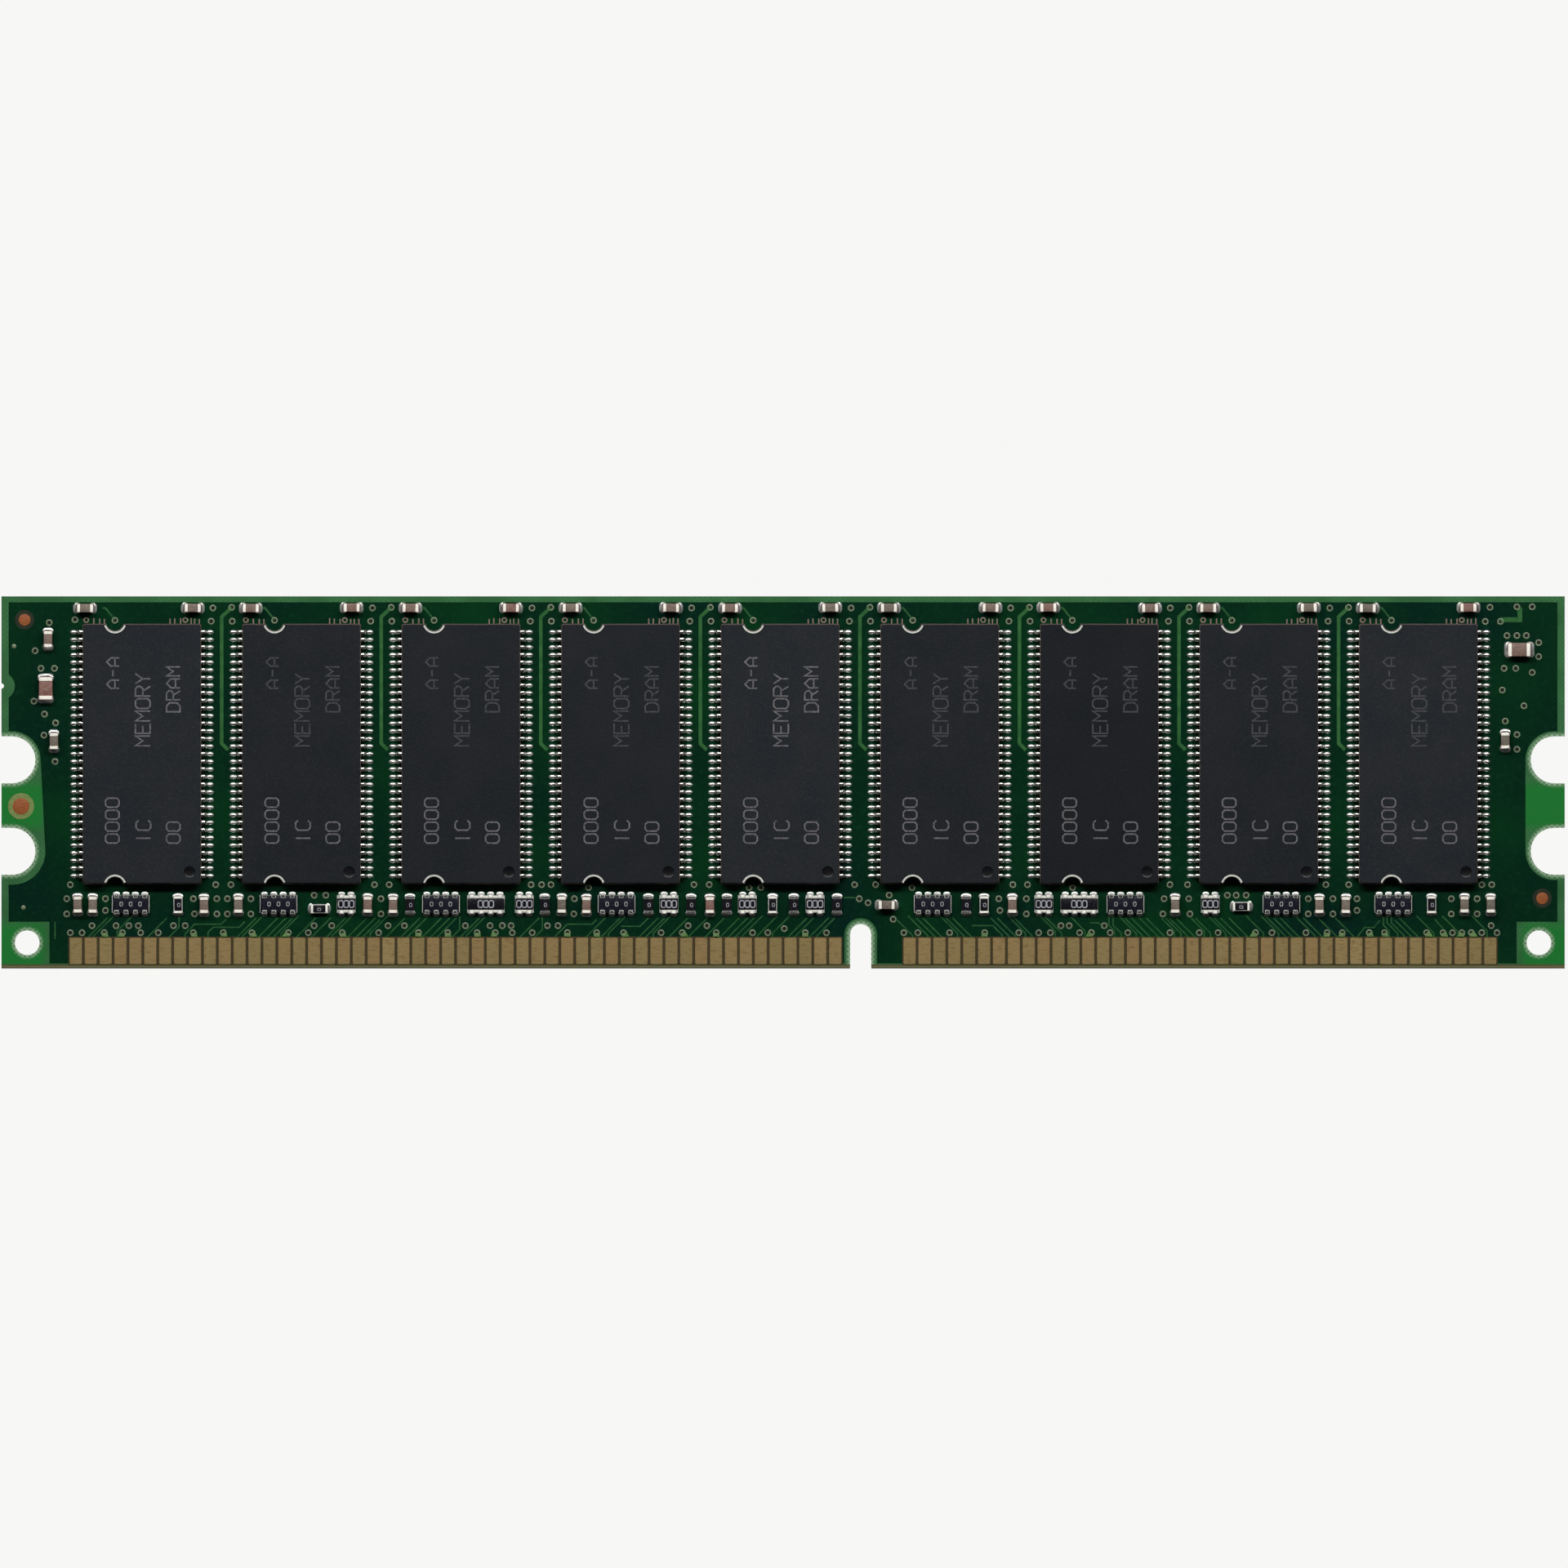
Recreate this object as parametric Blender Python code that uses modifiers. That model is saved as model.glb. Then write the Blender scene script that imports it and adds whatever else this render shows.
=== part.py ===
"""Desktop memory module: a notched circuit board with gold contact rows, moulded memory
packages on their leadframes and dies, resistor networks, end capacitors and the small
presence-detect memory on the back.

The board stands upright on its contact edge. X runs along the board, Z up from the contact
edge, and the memory side faces -Y. The origin is the middle of the contact edge.
"""

import math

import bmesh
import bpy
from mathutils import Matrix

MM = 0.001

# ---- circuit board
BOARD_LENGTH = 133.35 * MM
BOARD_HEIGHT = 31.75 * MM
BOARD_THICKNESS = 1.27 * MM
EDGE_BEVEL_HEIGHT = 0.35 * MM
EDGE_BEVEL_DEPTH = 0.22 * MM

LATCH_NOTCH_RADIUS = 2.0 * MM
LATCH_NOTCH_DEPTH = 2.9 * MM
LATCH_NOTCH_HEIGHTS = (10.0 * MM, 17.8 * MM)
TOOLING_HOLE_DIAMETER = 2.1 * MM
TOOLING_HOLE_INSET = 2.2 * MM
TOOLING_HOLE_HEIGHT = 2.2 * MM
BREAKOUT_NICK_RADIUS = 0.22 * MM
BREAKOUT_NICK_HEIGHT = 24.1 * MM

KEY_OFFSET = 6.62 * MM
KEY_WIDTH = 1.8 * MM
KEY_HEIGHT = 3.8 * MM

# ---- contact rows, one long and one short row on each side of the key slot
CONTACT_PITCH = 1.27 * MM
CONTACT_GAP = 0.25 * MM
CONTACT_THICKNESS = 0.05 * MM
CONTACT_BOTTOM = 0.40 * MM
CONTACT_TOP = 2.60 * MM
PLATING_BAR_HEIGHT = 0.12 * MM
LEFT_CONTACTS = 52
RIGHT_CONTACTS = 40
KEY_TO_LEFT_ROW = 2.175 * MM
KEY_TO_RIGHT_ROW = 4.175 * MM

# ---- moulded packages; a pin row runs up each long side
DRAM_COUNT = 9
DRAM_PACKAGE_GAP = 1.85 * MM
DRAM_ROW_OFFSET = -0.25 * MM
DRAM_TOP_MARGIN = 2.34 * MM
DRAM = {
    "body_width": 10.16 * MM,
    "body_thickness": 1.0 * MM,
    "body_end": 0.71 * MM,
    "leads_per_side": 33,
    "lead_pitch": 0.65 * MM,
    "lead_width": 0.30 * MM,
    "lead_reach": 0.80 * MM,
    "paddle_leads": 23,
    "rail_width": 0.90 * MM,
    "die_width": 7.0 * MM,
    "die_length": 12.5 * MM,
    "pin_one_mark": (4.07 * MM, 1.04 * MM),
    "end_notch_offset": -2.3 * MM,
    "end_notch_radius": 0.80 * MM,
}
SPD = {
    "body_width": 4.4 * MM,
    "body_thickness": 1.0 * MM,
    "body_end": 0.525 * MM,
    "leads_per_side": 4,
    "lead_pitch": 0.65 * MM,
    "lead_width": 0.25 * MM,
    "lead_reach": 1.0 * MM,
    "paddle_leads": 2,
    "rail_width": 0.60 * MM,
    "die_width": 1.6 * MM,
    "die_length": 1.2 * MM,
    "pin_one_mark": (1.45 * MM, 0.75 * MM),
    "end_notch_offset": 0.0,
    "end_notch_radius": 0.0,
}
SPD_POSITION = (-8.0 * MM, 9.2 * MM)
LEAD_THICKNESS = 0.15 * MM
BODY_STANDOFF = 0.10 * MM
BODY_DRAFT = 0.09 * MM
DIE_THICKNESS = 0.25 * MM
PIN_MARK_RADIUS = 0.50 * MM
PIN_MARK_DEPTH = 0.10 * MM
MOULD_CLEARANCE = 0.05 * MM
LEAD_ROOT_INSET = 0.06 * MM

# ---- resistor networks in the row above the contacts
NETWORK_ROW_HEIGHT = 5.5 * MM
NETWORK_PITCH = 0.8 * MM
NETWORK_WIDTH = 1.5 * MM
NETWORK_THICKNESS = 0.45 * MM
NETWORK_TERMINAL_WIDTH = 0.45 * MM
NETWORK_TERMINAL_REACH = 0.12 * MM
FOUR_ELEMENT_PLACES = (-55.65, -43.04, -29.18, -25.35, -14.20, 12.76, 25.27, 29.20, 42.51, 52.05)
TWO_ELEMENT_PLACES = (-37.26, -22.07, -9.74, -3.05, 2.73, 22.24, 36.45)

# ---- larger decoupling capacitors near the two ends of the board:
# size, end of the board, distance in from that end, height, and whether it stands upright
CAPACITOR_SIZES = {
    "small": (1.6 * MM, 0.80 * MM, 0.80 * MM),
    "large": (2.0 * MM, 1.25 * MM, 0.85 * MM),
}
CAPACITOR_TERMINAL = 0.40 * MM
CAPACITOR_LIP = 0.03 * MM
EDGE_CAPACITORS = (
    ("small", "left", 3.975 * MM, 28.10 * MM, True),
    ("large", "left", 3.775 * MM, 23.90 * MM, True),
    ("small", "left", 4.475 * MM, 19.40 * MM, True),
    ("large", "right", 3.875 * MM, 27.20 * MM, False),
    ("small", "right", 5.075 * MM, 19.45 * MM, True),
)

# ---- fits
SOLDER_FILM = 0.03 * MM
CUT_THROUGH = 1.0 * MM
BEVEL_BLOCK = 4.0 * MM
WELD_DISTANCE = 0.0001 * MM
ARC_STEPS = 16


# ---------------------------------------------------------------- scene, materials and helpers

def clear_scene():
    for obj in list(bpy.data.objects):
        bpy.data.objects.remove(obj, do_unlink=True)


def make_collection(name):
    collection = bpy.data.collections.new(name)
    bpy.context.scene.collection.children.link(collection)
    return collection


def make_material(name, colour, roughness, metallic=0.0):
    material = bpy.data.materials.new(name)
    material.use_nodes = True
    shader = material.node_tree.nodes["Principled BSDF"]
    shader.inputs["Base Color"].default_value = (*colour, 1.0)
    shader.inputs["Roughness"].default_value = roughness
    shader.inputs["Metallic"].default_value = metallic
    material.diffuse_color = (*colour, 1.0)
    return material


def make_empty(name, location, rotation, parent=None):
    empty = bpy.data.objects.new(name, None)
    empty.empty_display_size = 10 * MM
    empty.location = location
    empty.rotation_euler = rotation
    empty.parent = parent
    parts.objects.link(empty)
    return empty


def place(name, mesh, material, parent, location=(0.0, 0.0, 0.0), turn=0.0):
    """A part on its parent's plane: local X and Y lie in the plane and Z points out of it."""
    obj = bpy.data.objects.new(name, mesh)
    if not mesh.materials:
        mesh.materials.append(material)
    obj.location = location
    obj.rotation_euler = (0.0, 0.0, turn)
    obj.parent = parent
    parts.objects.link(obj)
    return obj


def smooth_rounds(mesh):
    mesh.shade_smooth()
    mesh.set_sharp_from_angle(angle=math.radians(30))


def box_mesh(name, size, centre=(0.0, 0.0, 0.0)):
    bm = bmesh.new()
    matrix = Matrix.Translation(centre) @ Matrix.Diagonal((*size, 1.0))
    bmesh.ops.create_cube(bm, size=1.0, matrix=matrix)
    mesh = bpy.data.meshes.new(name)
    bm.to_mesh(mesh)
    bm.free()
    return mesh


def cylinder_mesh(name, radius, depth, steps=2 * ARC_STEPS):
    bm = bmesh.new()
    bmesh.ops.create_cone(bm, cap_ends=True, segments=steps, radius1=radius, radius2=radius, depth=depth)
    mesh = bpy.data.meshes.new(name)
    bm.to_mesh(mesh)
    bm.free()
    smooth_rounds(mesh)
    return mesh


def outline_mesh(name, points, thickness):
    """A flat closed outline in local XY, given thickness along local Z about its plane."""
    curve = bpy.data.curves.new(name, "CURVE")
    curve.dimensions = "2D"
    curve.fill_mode = "BOTH"
    curve.extrude = thickness / 2
    spline = curve.splines.new("POLY")
    spline.points.add(len(points) - 1)
    for point, (x, y) in zip(spline.points, points):
        point.co = (x, y, 0.0, 1.0)
    spline.use_cyclic_u = True
    helper = bpy.data.objects.new(name, curve)
    cutters.objects.link(helper)
    mesh = evaluated_mesh(helper, name)
    bpy.data.curves.remove(curve)
    bm = bmesh.new()
    bm.from_mesh(mesh)
    bmesh.ops.remove_doubles(bm, verts=bm.verts, dist=WELD_DISTANCE)
    bm.to_mesh(mesh)
    bm.free()
    return mesh


def evaluated_mesh(helper, name):
    """The helper's mesh with its modifiers applied; the helper itself is removed."""
    bpy.context.view_layer.update()
    graph = bpy.context.evaluated_depsgraph_get()
    mesh = bpy.data.meshes.new_from_object(helper.evaluated_get(graph))
    mesh.name = name
    bpy.data.objects.remove(helper, do_unlink=True)
    return mesh


def make_cutter(name, mesh, location=(0.0, 0.0, 0.0), rotation=(0.0, 0.0, 0.0)):
    cutter = bpy.data.objects.new(name, mesh)
    cutter.location = location
    cutter.rotation_euler = rotation
    cutter.hide_render = True
    cutter.display_type = "WIRE"
    cutters.objects.link(cutter)
    return cutter


def cut(obj, cutter):
    modifier = obj.modifiers.new(cutter.name, "BOOLEAN")
    modifier.operation = "DIFFERENCE"
    modifier.solver = "EXACT"
    modifier.object = cutter


# ---------------------------------------------------------------- circuit board

def slot_outline(radius, straight):
    """A U shape: a half circle about the origin, open to +X along straight sides."""
    points = [(straight, radius)]
    for step in range(ARC_STEPS + 1):
        angle = math.pi / 2 + math.pi * step / ARC_STEPS
        points.append((radius * math.cos(angle), radius * math.sin(angle)))
    points.append((straight, -radius))
    return points


def cut_latch_notches(board):
    cut_depth = BOARD_THICKNESS + 2 * CUT_THROUGH
    straight = LATCH_NOTCH_DEPTH - LATCH_NOTCH_RADIUS + CUT_THROUGH
    outline = slot_outline(LATCH_NOTCH_RADIUS, straight)
    mesh = outline_mesh("latch_notch", outline, cut_depth)
    smooth_rounds(mesh)
    centre_x = BOARD_LENGTH / 2 - LATCH_NOTCH_DEPTH + LATCH_NOTCH_RADIUS
    for side, turn in ((1, 0.0), (-1, math.pi)):
        for index, height in enumerate(LATCH_NOTCH_HEIGHTS):
            name = f"latch_notch_{'right' if side > 0 else 'left'}_{index + 1}"
            cutter = make_cutter(name, mesh, (side * centre_x, 0.0, height), (math.pi / 2, 0.0, turn))
            cut(board, cutter)


def cut_key_slot(board):
    cut_depth = BOARD_THICKNESS + 2 * CUT_THROUGH
    centre_height = KEY_HEIGHT - KEY_WIDTH / 2
    outline = slot_outline(KEY_WIDTH / 2, centre_height + CUT_THROUGH)
    mesh = outline_mesh("key_slot", outline, cut_depth)
    smooth_rounds(mesh)
    place_at = (KEY_OFFSET, 0.0, centre_height)
    cut(board, make_cutter("key_slot", mesh, place_at, (math.pi / 2, math.pi / 2, 0.0)))


def cut_round_holes(board):
    cut_depth = BOARD_THICKNESS + 2 * CUT_THROUGH
    hole = cylinder_mesh("tooling_hole", TOOLING_HOLE_DIAMETER / 2, cut_depth)
    hole_x = BOARD_LENGTH / 2 - TOOLING_HOLE_INSET
    across = (math.pi / 2, 0.0, 0.0)
    for name, side in (("tooling_hole_left", -1), ("tooling_hole_right", 1)):
        cut(board, make_cutter(name, hole, (side * hole_x, 0.0, TOOLING_HOLE_HEIGHT), across))
    nick = cylinder_mesh("breakout_nick", BREAKOUT_NICK_RADIUS, cut_depth, ARC_STEPS)
    nick_at = (-BOARD_LENGTH / 2, 0.0, BREAKOUT_NICK_HEIGHT)
    cut(board, make_cutter("breakout_nick", nick, nick_at, across))


def cut_edge_bevels(board):
    """A slanted block along each face takes off the corner of the contact edge."""
    slant = math.atan2(EDGE_BEVEL_DEPTH, EDGE_BEVEL_HEIGHT)
    size = (BOARD_LENGTH + 2 * CUT_THROUGH, BEVEL_BLOCK, BEVEL_BLOCK)
    mesh = box_mesh("edge_bevel", size, (0.0, BEVEL_BLOCK / 2, 0.0))
    for name, side in (("edge_bevel_back", 1), ("edge_bevel_front", -1)):
        edge_at = (0.0, side * (BOARD_THICKNESS / 2 - EDGE_BEVEL_DEPTH / 2), EDGE_BEVEL_HEIGHT / 2)
        rotation = (-slant, 0.0, 0.0 if side > 0 else math.pi)
        cut(board, make_cutter(name, mesh, edge_at, rotation))


def make_board():
    size = (BOARD_LENGTH, BOARD_THICKNESS, BOARD_HEIGHT)
    mesh = box_mesh("circuit_board", size, (0.0, 0.0, BOARD_HEIGHT / 2))
    mask = make_material("solder_mask_green", (0.02, 0.12, 0.05), 0.35)
    board = place("circuit_board", mesh, mask, module)
    cut_edge_bevels(board)
    cut_latch_notches(board)
    cut_key_slot(board)
    cut_round_holes(board)


# ---------------------------------------------------------------- contact rows

def comb_outline(centres):
    """Fingers side by side, joined along the bottom by the plating bar's remains."""
    half = (CONTACT_PITCH - CONTACT_GAP) / 2
    bar_top = CONTACT_BOTTOM + PLATING_BAR_HEIGHT
    points = [(centres[0] - half, CONTACT_BOTTOM), (centres[-1] + half, CONTACT_BOTTOM)]
    for centre in reversed(centres):
        if centre != centres[-1]:
            points.append((centre + half, bar_top))
        points.append((centre + half, CONTACT_TOP))
        points.append((centre - half, CONTACT_TOP))
        if centre != centres[0]:
            points.append((centre - half, bar_top))
    return points


def make_contacts():
    gold = make_material("contact_gold", (0.62, 0.46, 0.16), 0.30, 1.0)
    left = [KEY_OFFSET - KEY_TO_LEFT_ROW - i * CONTACT_PITCH for i in range(LEFT_CONTACTS)]
    right = [KEY_OFFSET + KEY_TO_RIGHT_ROW + i * CONTACT_PITCH for i in range(RIGHT_CONTACTS)]
    height = SOLDER_FILM + CONTACT_THICKNESS / 2
    for face_name, face, mirror in (("front", front_face, 1), ("back", back_face, -1)):
        for row_name, places in (("left", left), ("right", right)):
            name = f"contacts_{face_name}_{row_name}"
            centres = sorted(mirror * x for x in places)
            mesh = outline_mesh(name, comb_outline(centres), CONTACT_THICKNESS)
            place(name, mesh, gold, face, (0.0, 0.0, height))


# ---------------------------------------------------------------- moulded packages

def row_half(package, leads):
    """Half the length of a row of leads, to the outer edge of the last one."""
    return ((leads - 1) * package["lead_pitch"] + package["lead_width"]) / 2


def body_length(package):
    return (package["leads_per_side"] - 1) * package["lead_pitch"] + 2 * package["body_end"]


def parting_height(package):
    return BODY_STANDOFF + package["body_thickness"] / 2


def die_height(package):
    """Middle of the die, which hangs under the leadframe."""
    return parting_height(package) - LEAD_THICKNESS / 2 - MOULD_CLEARANCE - DIE_THICKNESS / 2


def drafted_block(name, package):
    """The moulding: sides slope in from the parting line to the top and to the bottom."""
    thickness = package["body_thickness"]
    bm = bmesh.new()
    size = Matrix.Diagonal((package["body_width"], body_length(package), thickness, 1.0))
    bmesh.ops.create_cube(bm, size=1.0, matrix=size)
    everything = bm.verts[:] + bm.edges[:] + bm.faces[:]
    bmesh.ops.bisect_plane(bm, geom=everything, plane_co=(0, 0, 0), plane_no=(0, 0, 1))
    for vert in bm.verts:
        if abs(vert.co.z) > thickness / 4:
            vert.co.x -= math.copysign(BODY_DRAFT, vert.co.x)
            vert.co.y -= math.copysign(BODY_DRAFT, vert.co.y)
    bmesh.ops.translate(bm, verts=bm.verts, vec=(0.0, 0.0, parting_height(package)))
    mesh = bpy.data.meshes.new(name)
    bm.to_mesh(mesh)
    bm.free()
    return mesh


def body_mesh(name, package):
    """The moulding with the room that its leadframe and die take, and its marks."""
    helper = bpy.data.objects.new(name, drafted_block(name, package))
    cutters.objects.link(helper)
    clear = 2 * MOULD_CLEARANCE
    parting = parting_height(package)
    slot_height = LEAD_THICKNESS + clear
    rail = package["rail_width"] + LEAD_ROOT_INSET + MOULD_CLEARANCE + CUT_THROUGH
    rail_x = package["body_width"] / 2 + CUT_THROUGH - rail / 2
    rail_size = (rail, 2 * row_half(package, package["leads_per_side"]) + clear, slot_height)
    for side in (-1, 1):
        mesh = box_mesh(f"{name}_rail_slot", rail_size, (side * rail_x, 0.0, parting))
        cut(helper, make_cutter(f"{name}_rail_slot_{side}", mesh))
    paddle_length = 2 * row_half(package, package["paddle_leads"])
    paddle_size = (package["body_width"], paddle_length + clear, slot_height)
    mesh = box_mesh(f"{name}_paddle_slot", paddle_size, (0.0, 0.0, parting))
    cut(helper, make_cutter(f"{name}_paddle_slot", mesh))
    pocket_bottom = die_height(package) - DIE_THICKNESS / 2 - MOULD_CLEARANCE
    pocket_size = (
        package["die_width"] + clear,
        package["die_length"] + clear,
        parting - pocket_bottom,
    )
    pocket_at = (0.0, 0.0, (parting + pocket_bottom) / 2)
    cut(helper, make_cutter(f"{name}_die_pocket", box_mesh(f"{name}_die_pocket", pocket_size, pocket_at)))
    mark_x, mark_end = package["pin_one_mark"]
    top = BODY_STANDOFF + package["body_thickness"]
    mark_at = (mark_x, mark_end - body_length(package) / 2, top)
    dimple = cylinder_mesh(f"{name}_pin_one_mark", PIN_MARK_RADIUS, 2 * PIN_MARK_DEPTH, ARC_STEPS)
    cut(helper, make_cutter(f"{name}_pin_one_mark", dimple, mark_at))
    if package["end_notch_radius"] > 0:
        notch_depth = package["body_thickness"] + 2 * CUT_THROUGH
        notch = cylinder_mesh(f"{name}_end_notch", package["end_notch_radius"], notch_depth, ARC_STEPS)
        for end in (-1, 1):
            notch_at = (package["end_notch_offset"], end * body_length(package) / 2, parting)
            cut(helper, make_cutter(f"{name}_end_notch_{end}", notch, notch_at))
    return evaluated_mesh(helper, name)


def leadframe_mesh(name, package):
    """Two rails joined by the paddle, with every lead slanting down to its pad."""
    root_x = package["body_width"] / 2 - LEAD_ROOT_INSET
    rail_x = root_x - package["rail_width"]
    foot_x = package["body_width"] / 2 + package["lead_reach"]
    foot_z = SOLDER_FILM + LEAD_THICKNESS
    columns = [-foot_x, -root_x, -rail_x, rail_x, root_x, foot_x]
    rows = []
    for lead in range(package["leads_per_side"]):
        centre = (lead - (package["leads_per_side"] - 1) / 2) * package["lead_pitch"]
        rows += [centre - package["lead_width"] / 2, centre + package["lead_width"] / 2]
    bm = bmesh.new()
    bmesh.ops.create_grid(bm, x_segments=len(columns) - 1, y_segments=len(rows) - 1, size=0.5)
    for vert in bm.verts:
        column = round((vert.co.x + 0.5) * (len(columns) - 1))
        row = round((vert.co.y + 0.5) * (len(rows) - 1))
        outer = column in (0, len(columns) - 1)
        vert.co = (columns[column], rows[row], foot_z if outer else parting_height(package))
    open_cells = []
    plate = []
    for face in bm.faces:
        middle = face.calc_center_median()
        on_a_lead = any(low < middle.y < high for low, high in zip(rows[::2], rows[1::2]))
        past_paddle = abs(middle.y) > row_half(package, package["paddle_leads"])
        if abs(middle.x) > root_x and not on_a_lead:
            open_cells.append(face)
        elif abs(middle.x) < rail_x and past_paddle:
            open_cells.append(face)
        elif abs(middle.x) < root_x:
            plate.append(face)
    bmesh.ops.delete(bm, geom=open_cells, context="FACES")
    bmesh.ops.dissolve_faces(bm, faces=plate)
    thin_out(bm, root_x)
    mesh = bpy.data.meshes.new(name)
    bm.to_mesh(mesh)
    bm.free()
    helper = bpy.data.objects.new(name, mesh)
    cutters.objects.link(helper)
    solidify = helper.modifiers.new("lead_thickness", "SOLIDIFY")
    solidify.thickness = LEAD_THICKNESS
    solidify.offset = 0.0
    return evaluated_mesh(helper, name)


def thin_out(bm, root_x):
    """Dissolves the points that lie in the middle of a straight rail edge."""
    inner = [
        vert
        for vert in bm.verts
        if len(vert.link_edges) == 2
        and abs(vert.co.x) < root_x - WELD_DISTANCE
        and vert.calc_edge_angle(0.0) < math.radians(1)
    ]
    bmesh.ops.dissolve_verts(bm, verts=inner)


def package_meshes(name, package):
    die_size = (package["die_width"], package["die_length"], DIE_THICKNESS)
    return {
        "body": body_mesh(f"{name}_body", package),
        "leadframe": leadframe_mesh(f"{name}_leadframe", package),
        "die": box_mesh(f"{name}_die", die_size, (0.0, 0.0, die_height(package))),
    }


def make_packages():
    finishes = {
        "body": make_material("moulded_epoxy", (0.035, 0.035, 0.045), 0.55),
        "leadframe": make_material("tinned_leadframe", (0.60, 0.60, 0.58), 0.30, 1.0),
        "die": make_material("silicon_die", (0.12, 0.13, 0.16), 0.20, 0.4),
    }
    meshes = package_meshes("dram", DRAM)
    pitch = DRAM["body_width"] + 2 * DRAM["lead_reach"] + DRAM_PACKAGE_GAP
    height = BOARD_HEIGHT - DRAM_TOP_MARGIN - body_length(DRAM) / 2
    for number in range(DRAM_COUNT):
        x = (number - (DRAM_COUNT - 1) / 2) * pitch + DRAM_ROW_OFFSET
        for piece, finish in finishes.items():
            place(f"dram_{piece}_{number + 1}", meshes[piece], finish, front_face, (x, height, 0.0))
    meshes = package_meshes("spd", SPD)
    for piece, finish in finishes.items():
        place(f"spd_{piece}", meshes[piece], finish, back_face, (*SPD_POSITION, 0.0))


# ---------------------------------------------------------------- resistor networks and capacitors

def network_outline(elements):
    """A ceramic bar whose terminals stand out along both long sides."""
    half_length = elements * NETWORK_PITCH / 2
    half_width = NETWORK_WIDTH / 2
    half_terminal = NETWORK_TERMINAL_WIDTH / 2
    points = []
    for side in (1, -1):
        points.append((-side * half_length, -side * half_width))
        for index in range(elements):
            centre = side * (index - (elements - 1) / 2) * NETWORK_PITCH
            reach = -side * (half_width + NETWORK_TERMINAL_REACH)
            points.append((centre - side * half_terminal, -side * half_width))
            points.append((centre - side * half_terminal, reach))
            points.append((centre + side * half_terminal, reach))
            points.append((centre + side * half_terminal, -side * half_width))
        points.append((side * half_length, -side * half_width))
    return points


def make_networks():
    ceramic = make_material("network_ceramic", (0.03, 0.04, 0.08), 0.45)
    kinds = ((4, FOUR_ELEMENT_PLACES), (2, TWO_ELEMENT_PLACES))
    height = SOLDER_FILM + NETWORK_THICKNESS / 2
    number = 0
    for elements, places in kinds:
        mesh = outline_mesh(f"network_{elements}", network_outline(elements), NETWORK_THICKNESS)
        for x in places:
            number += 1
            at = (x * MM, NETWORK_ROW_HEIGHT, height)
            place(f"resistor_network_{number}", mesh, ceramic, front_face, at)


def capacitor_mesh(name, size):
    """A ceramic block, sunk a lip's depth between its two terminals."""
    length, width, height = size
    bm = bmesh.new()
    bmesh.ops.create_cube(bm, size=1.0, matrix=Matrix.Diagonal((length, width, height, 1.0)))
    waist = length / 2 - CAPACITOR_TERMINAL
    for x in (-waist, waist):
        everything = bm.verts[:] + bm.edges[:] + bm.faces[:]
        bmesh.ops.bisect_plane(bm, geom=everything, plane_co=(x, 0, 0), plane_no=(1, 0, 0))
    band = [face for face in bm.faces if abs(face.calc_center_median().x) < waist / 2]
    bmesh.ops.inset_region(bm, faces=band, thickness=CAPACITOR_LIP, depth=-CAPACITOR_LIP)
    mesh = bpy.data.meshes.new(name)
    bm.to_mesh(mesh)
    bm.free()
    return mesh


def make_edge_capacitors():
    ceramic = make_material("capacitor_ceramic", (0.42, 0.33, 0.28), 0.50)
    meshes = {kind: capacitor_mesh(f"capacitor_{kind}", size) for kind, size in CAPACITOR_SIZES.items()}
    for number, (kind, end, inset, height, upright) in enumerate(EDGE_CAPACITORS, 1):
        x = (BOARD_LENGTH / 2 - inset) * (-1 if end == "left" else 1)
        lift = SOLDER_FILM + CAPACITOR_SIZES[kind][2] / 2
        turn = math.pi / 2 if upright else 0.0
        place(f"edge_capacitor_{number}", meshes[kind], ceramic, front_face, (x, height, lift), turn)


clear_scene()
parts = make_collection("ram_module")
cutters = make_collection("cutters")
cutters.hide_render = True
module = make_empty("module_origin", (0.0, 0.0, 0.0), (0.0, 0.0, 0.0))
half_board = BOARD_THICKNESS / 2
front_face = make_empty("front_face", (0.0, -half_board, 0.0), (math.pi / 2, 0.0, 0.0), module)
back_face = make_empty("back_face", (0.0, half_board, 0.0), (math.pi / 2, 0.0, math.pi), module)
make_board()
make_contacts()
make_packages()
make_networks()
make_edge_capacitors()
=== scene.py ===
import math
import random

import bmesh
import bpy
from mathutils import Matrix, Vector


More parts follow.
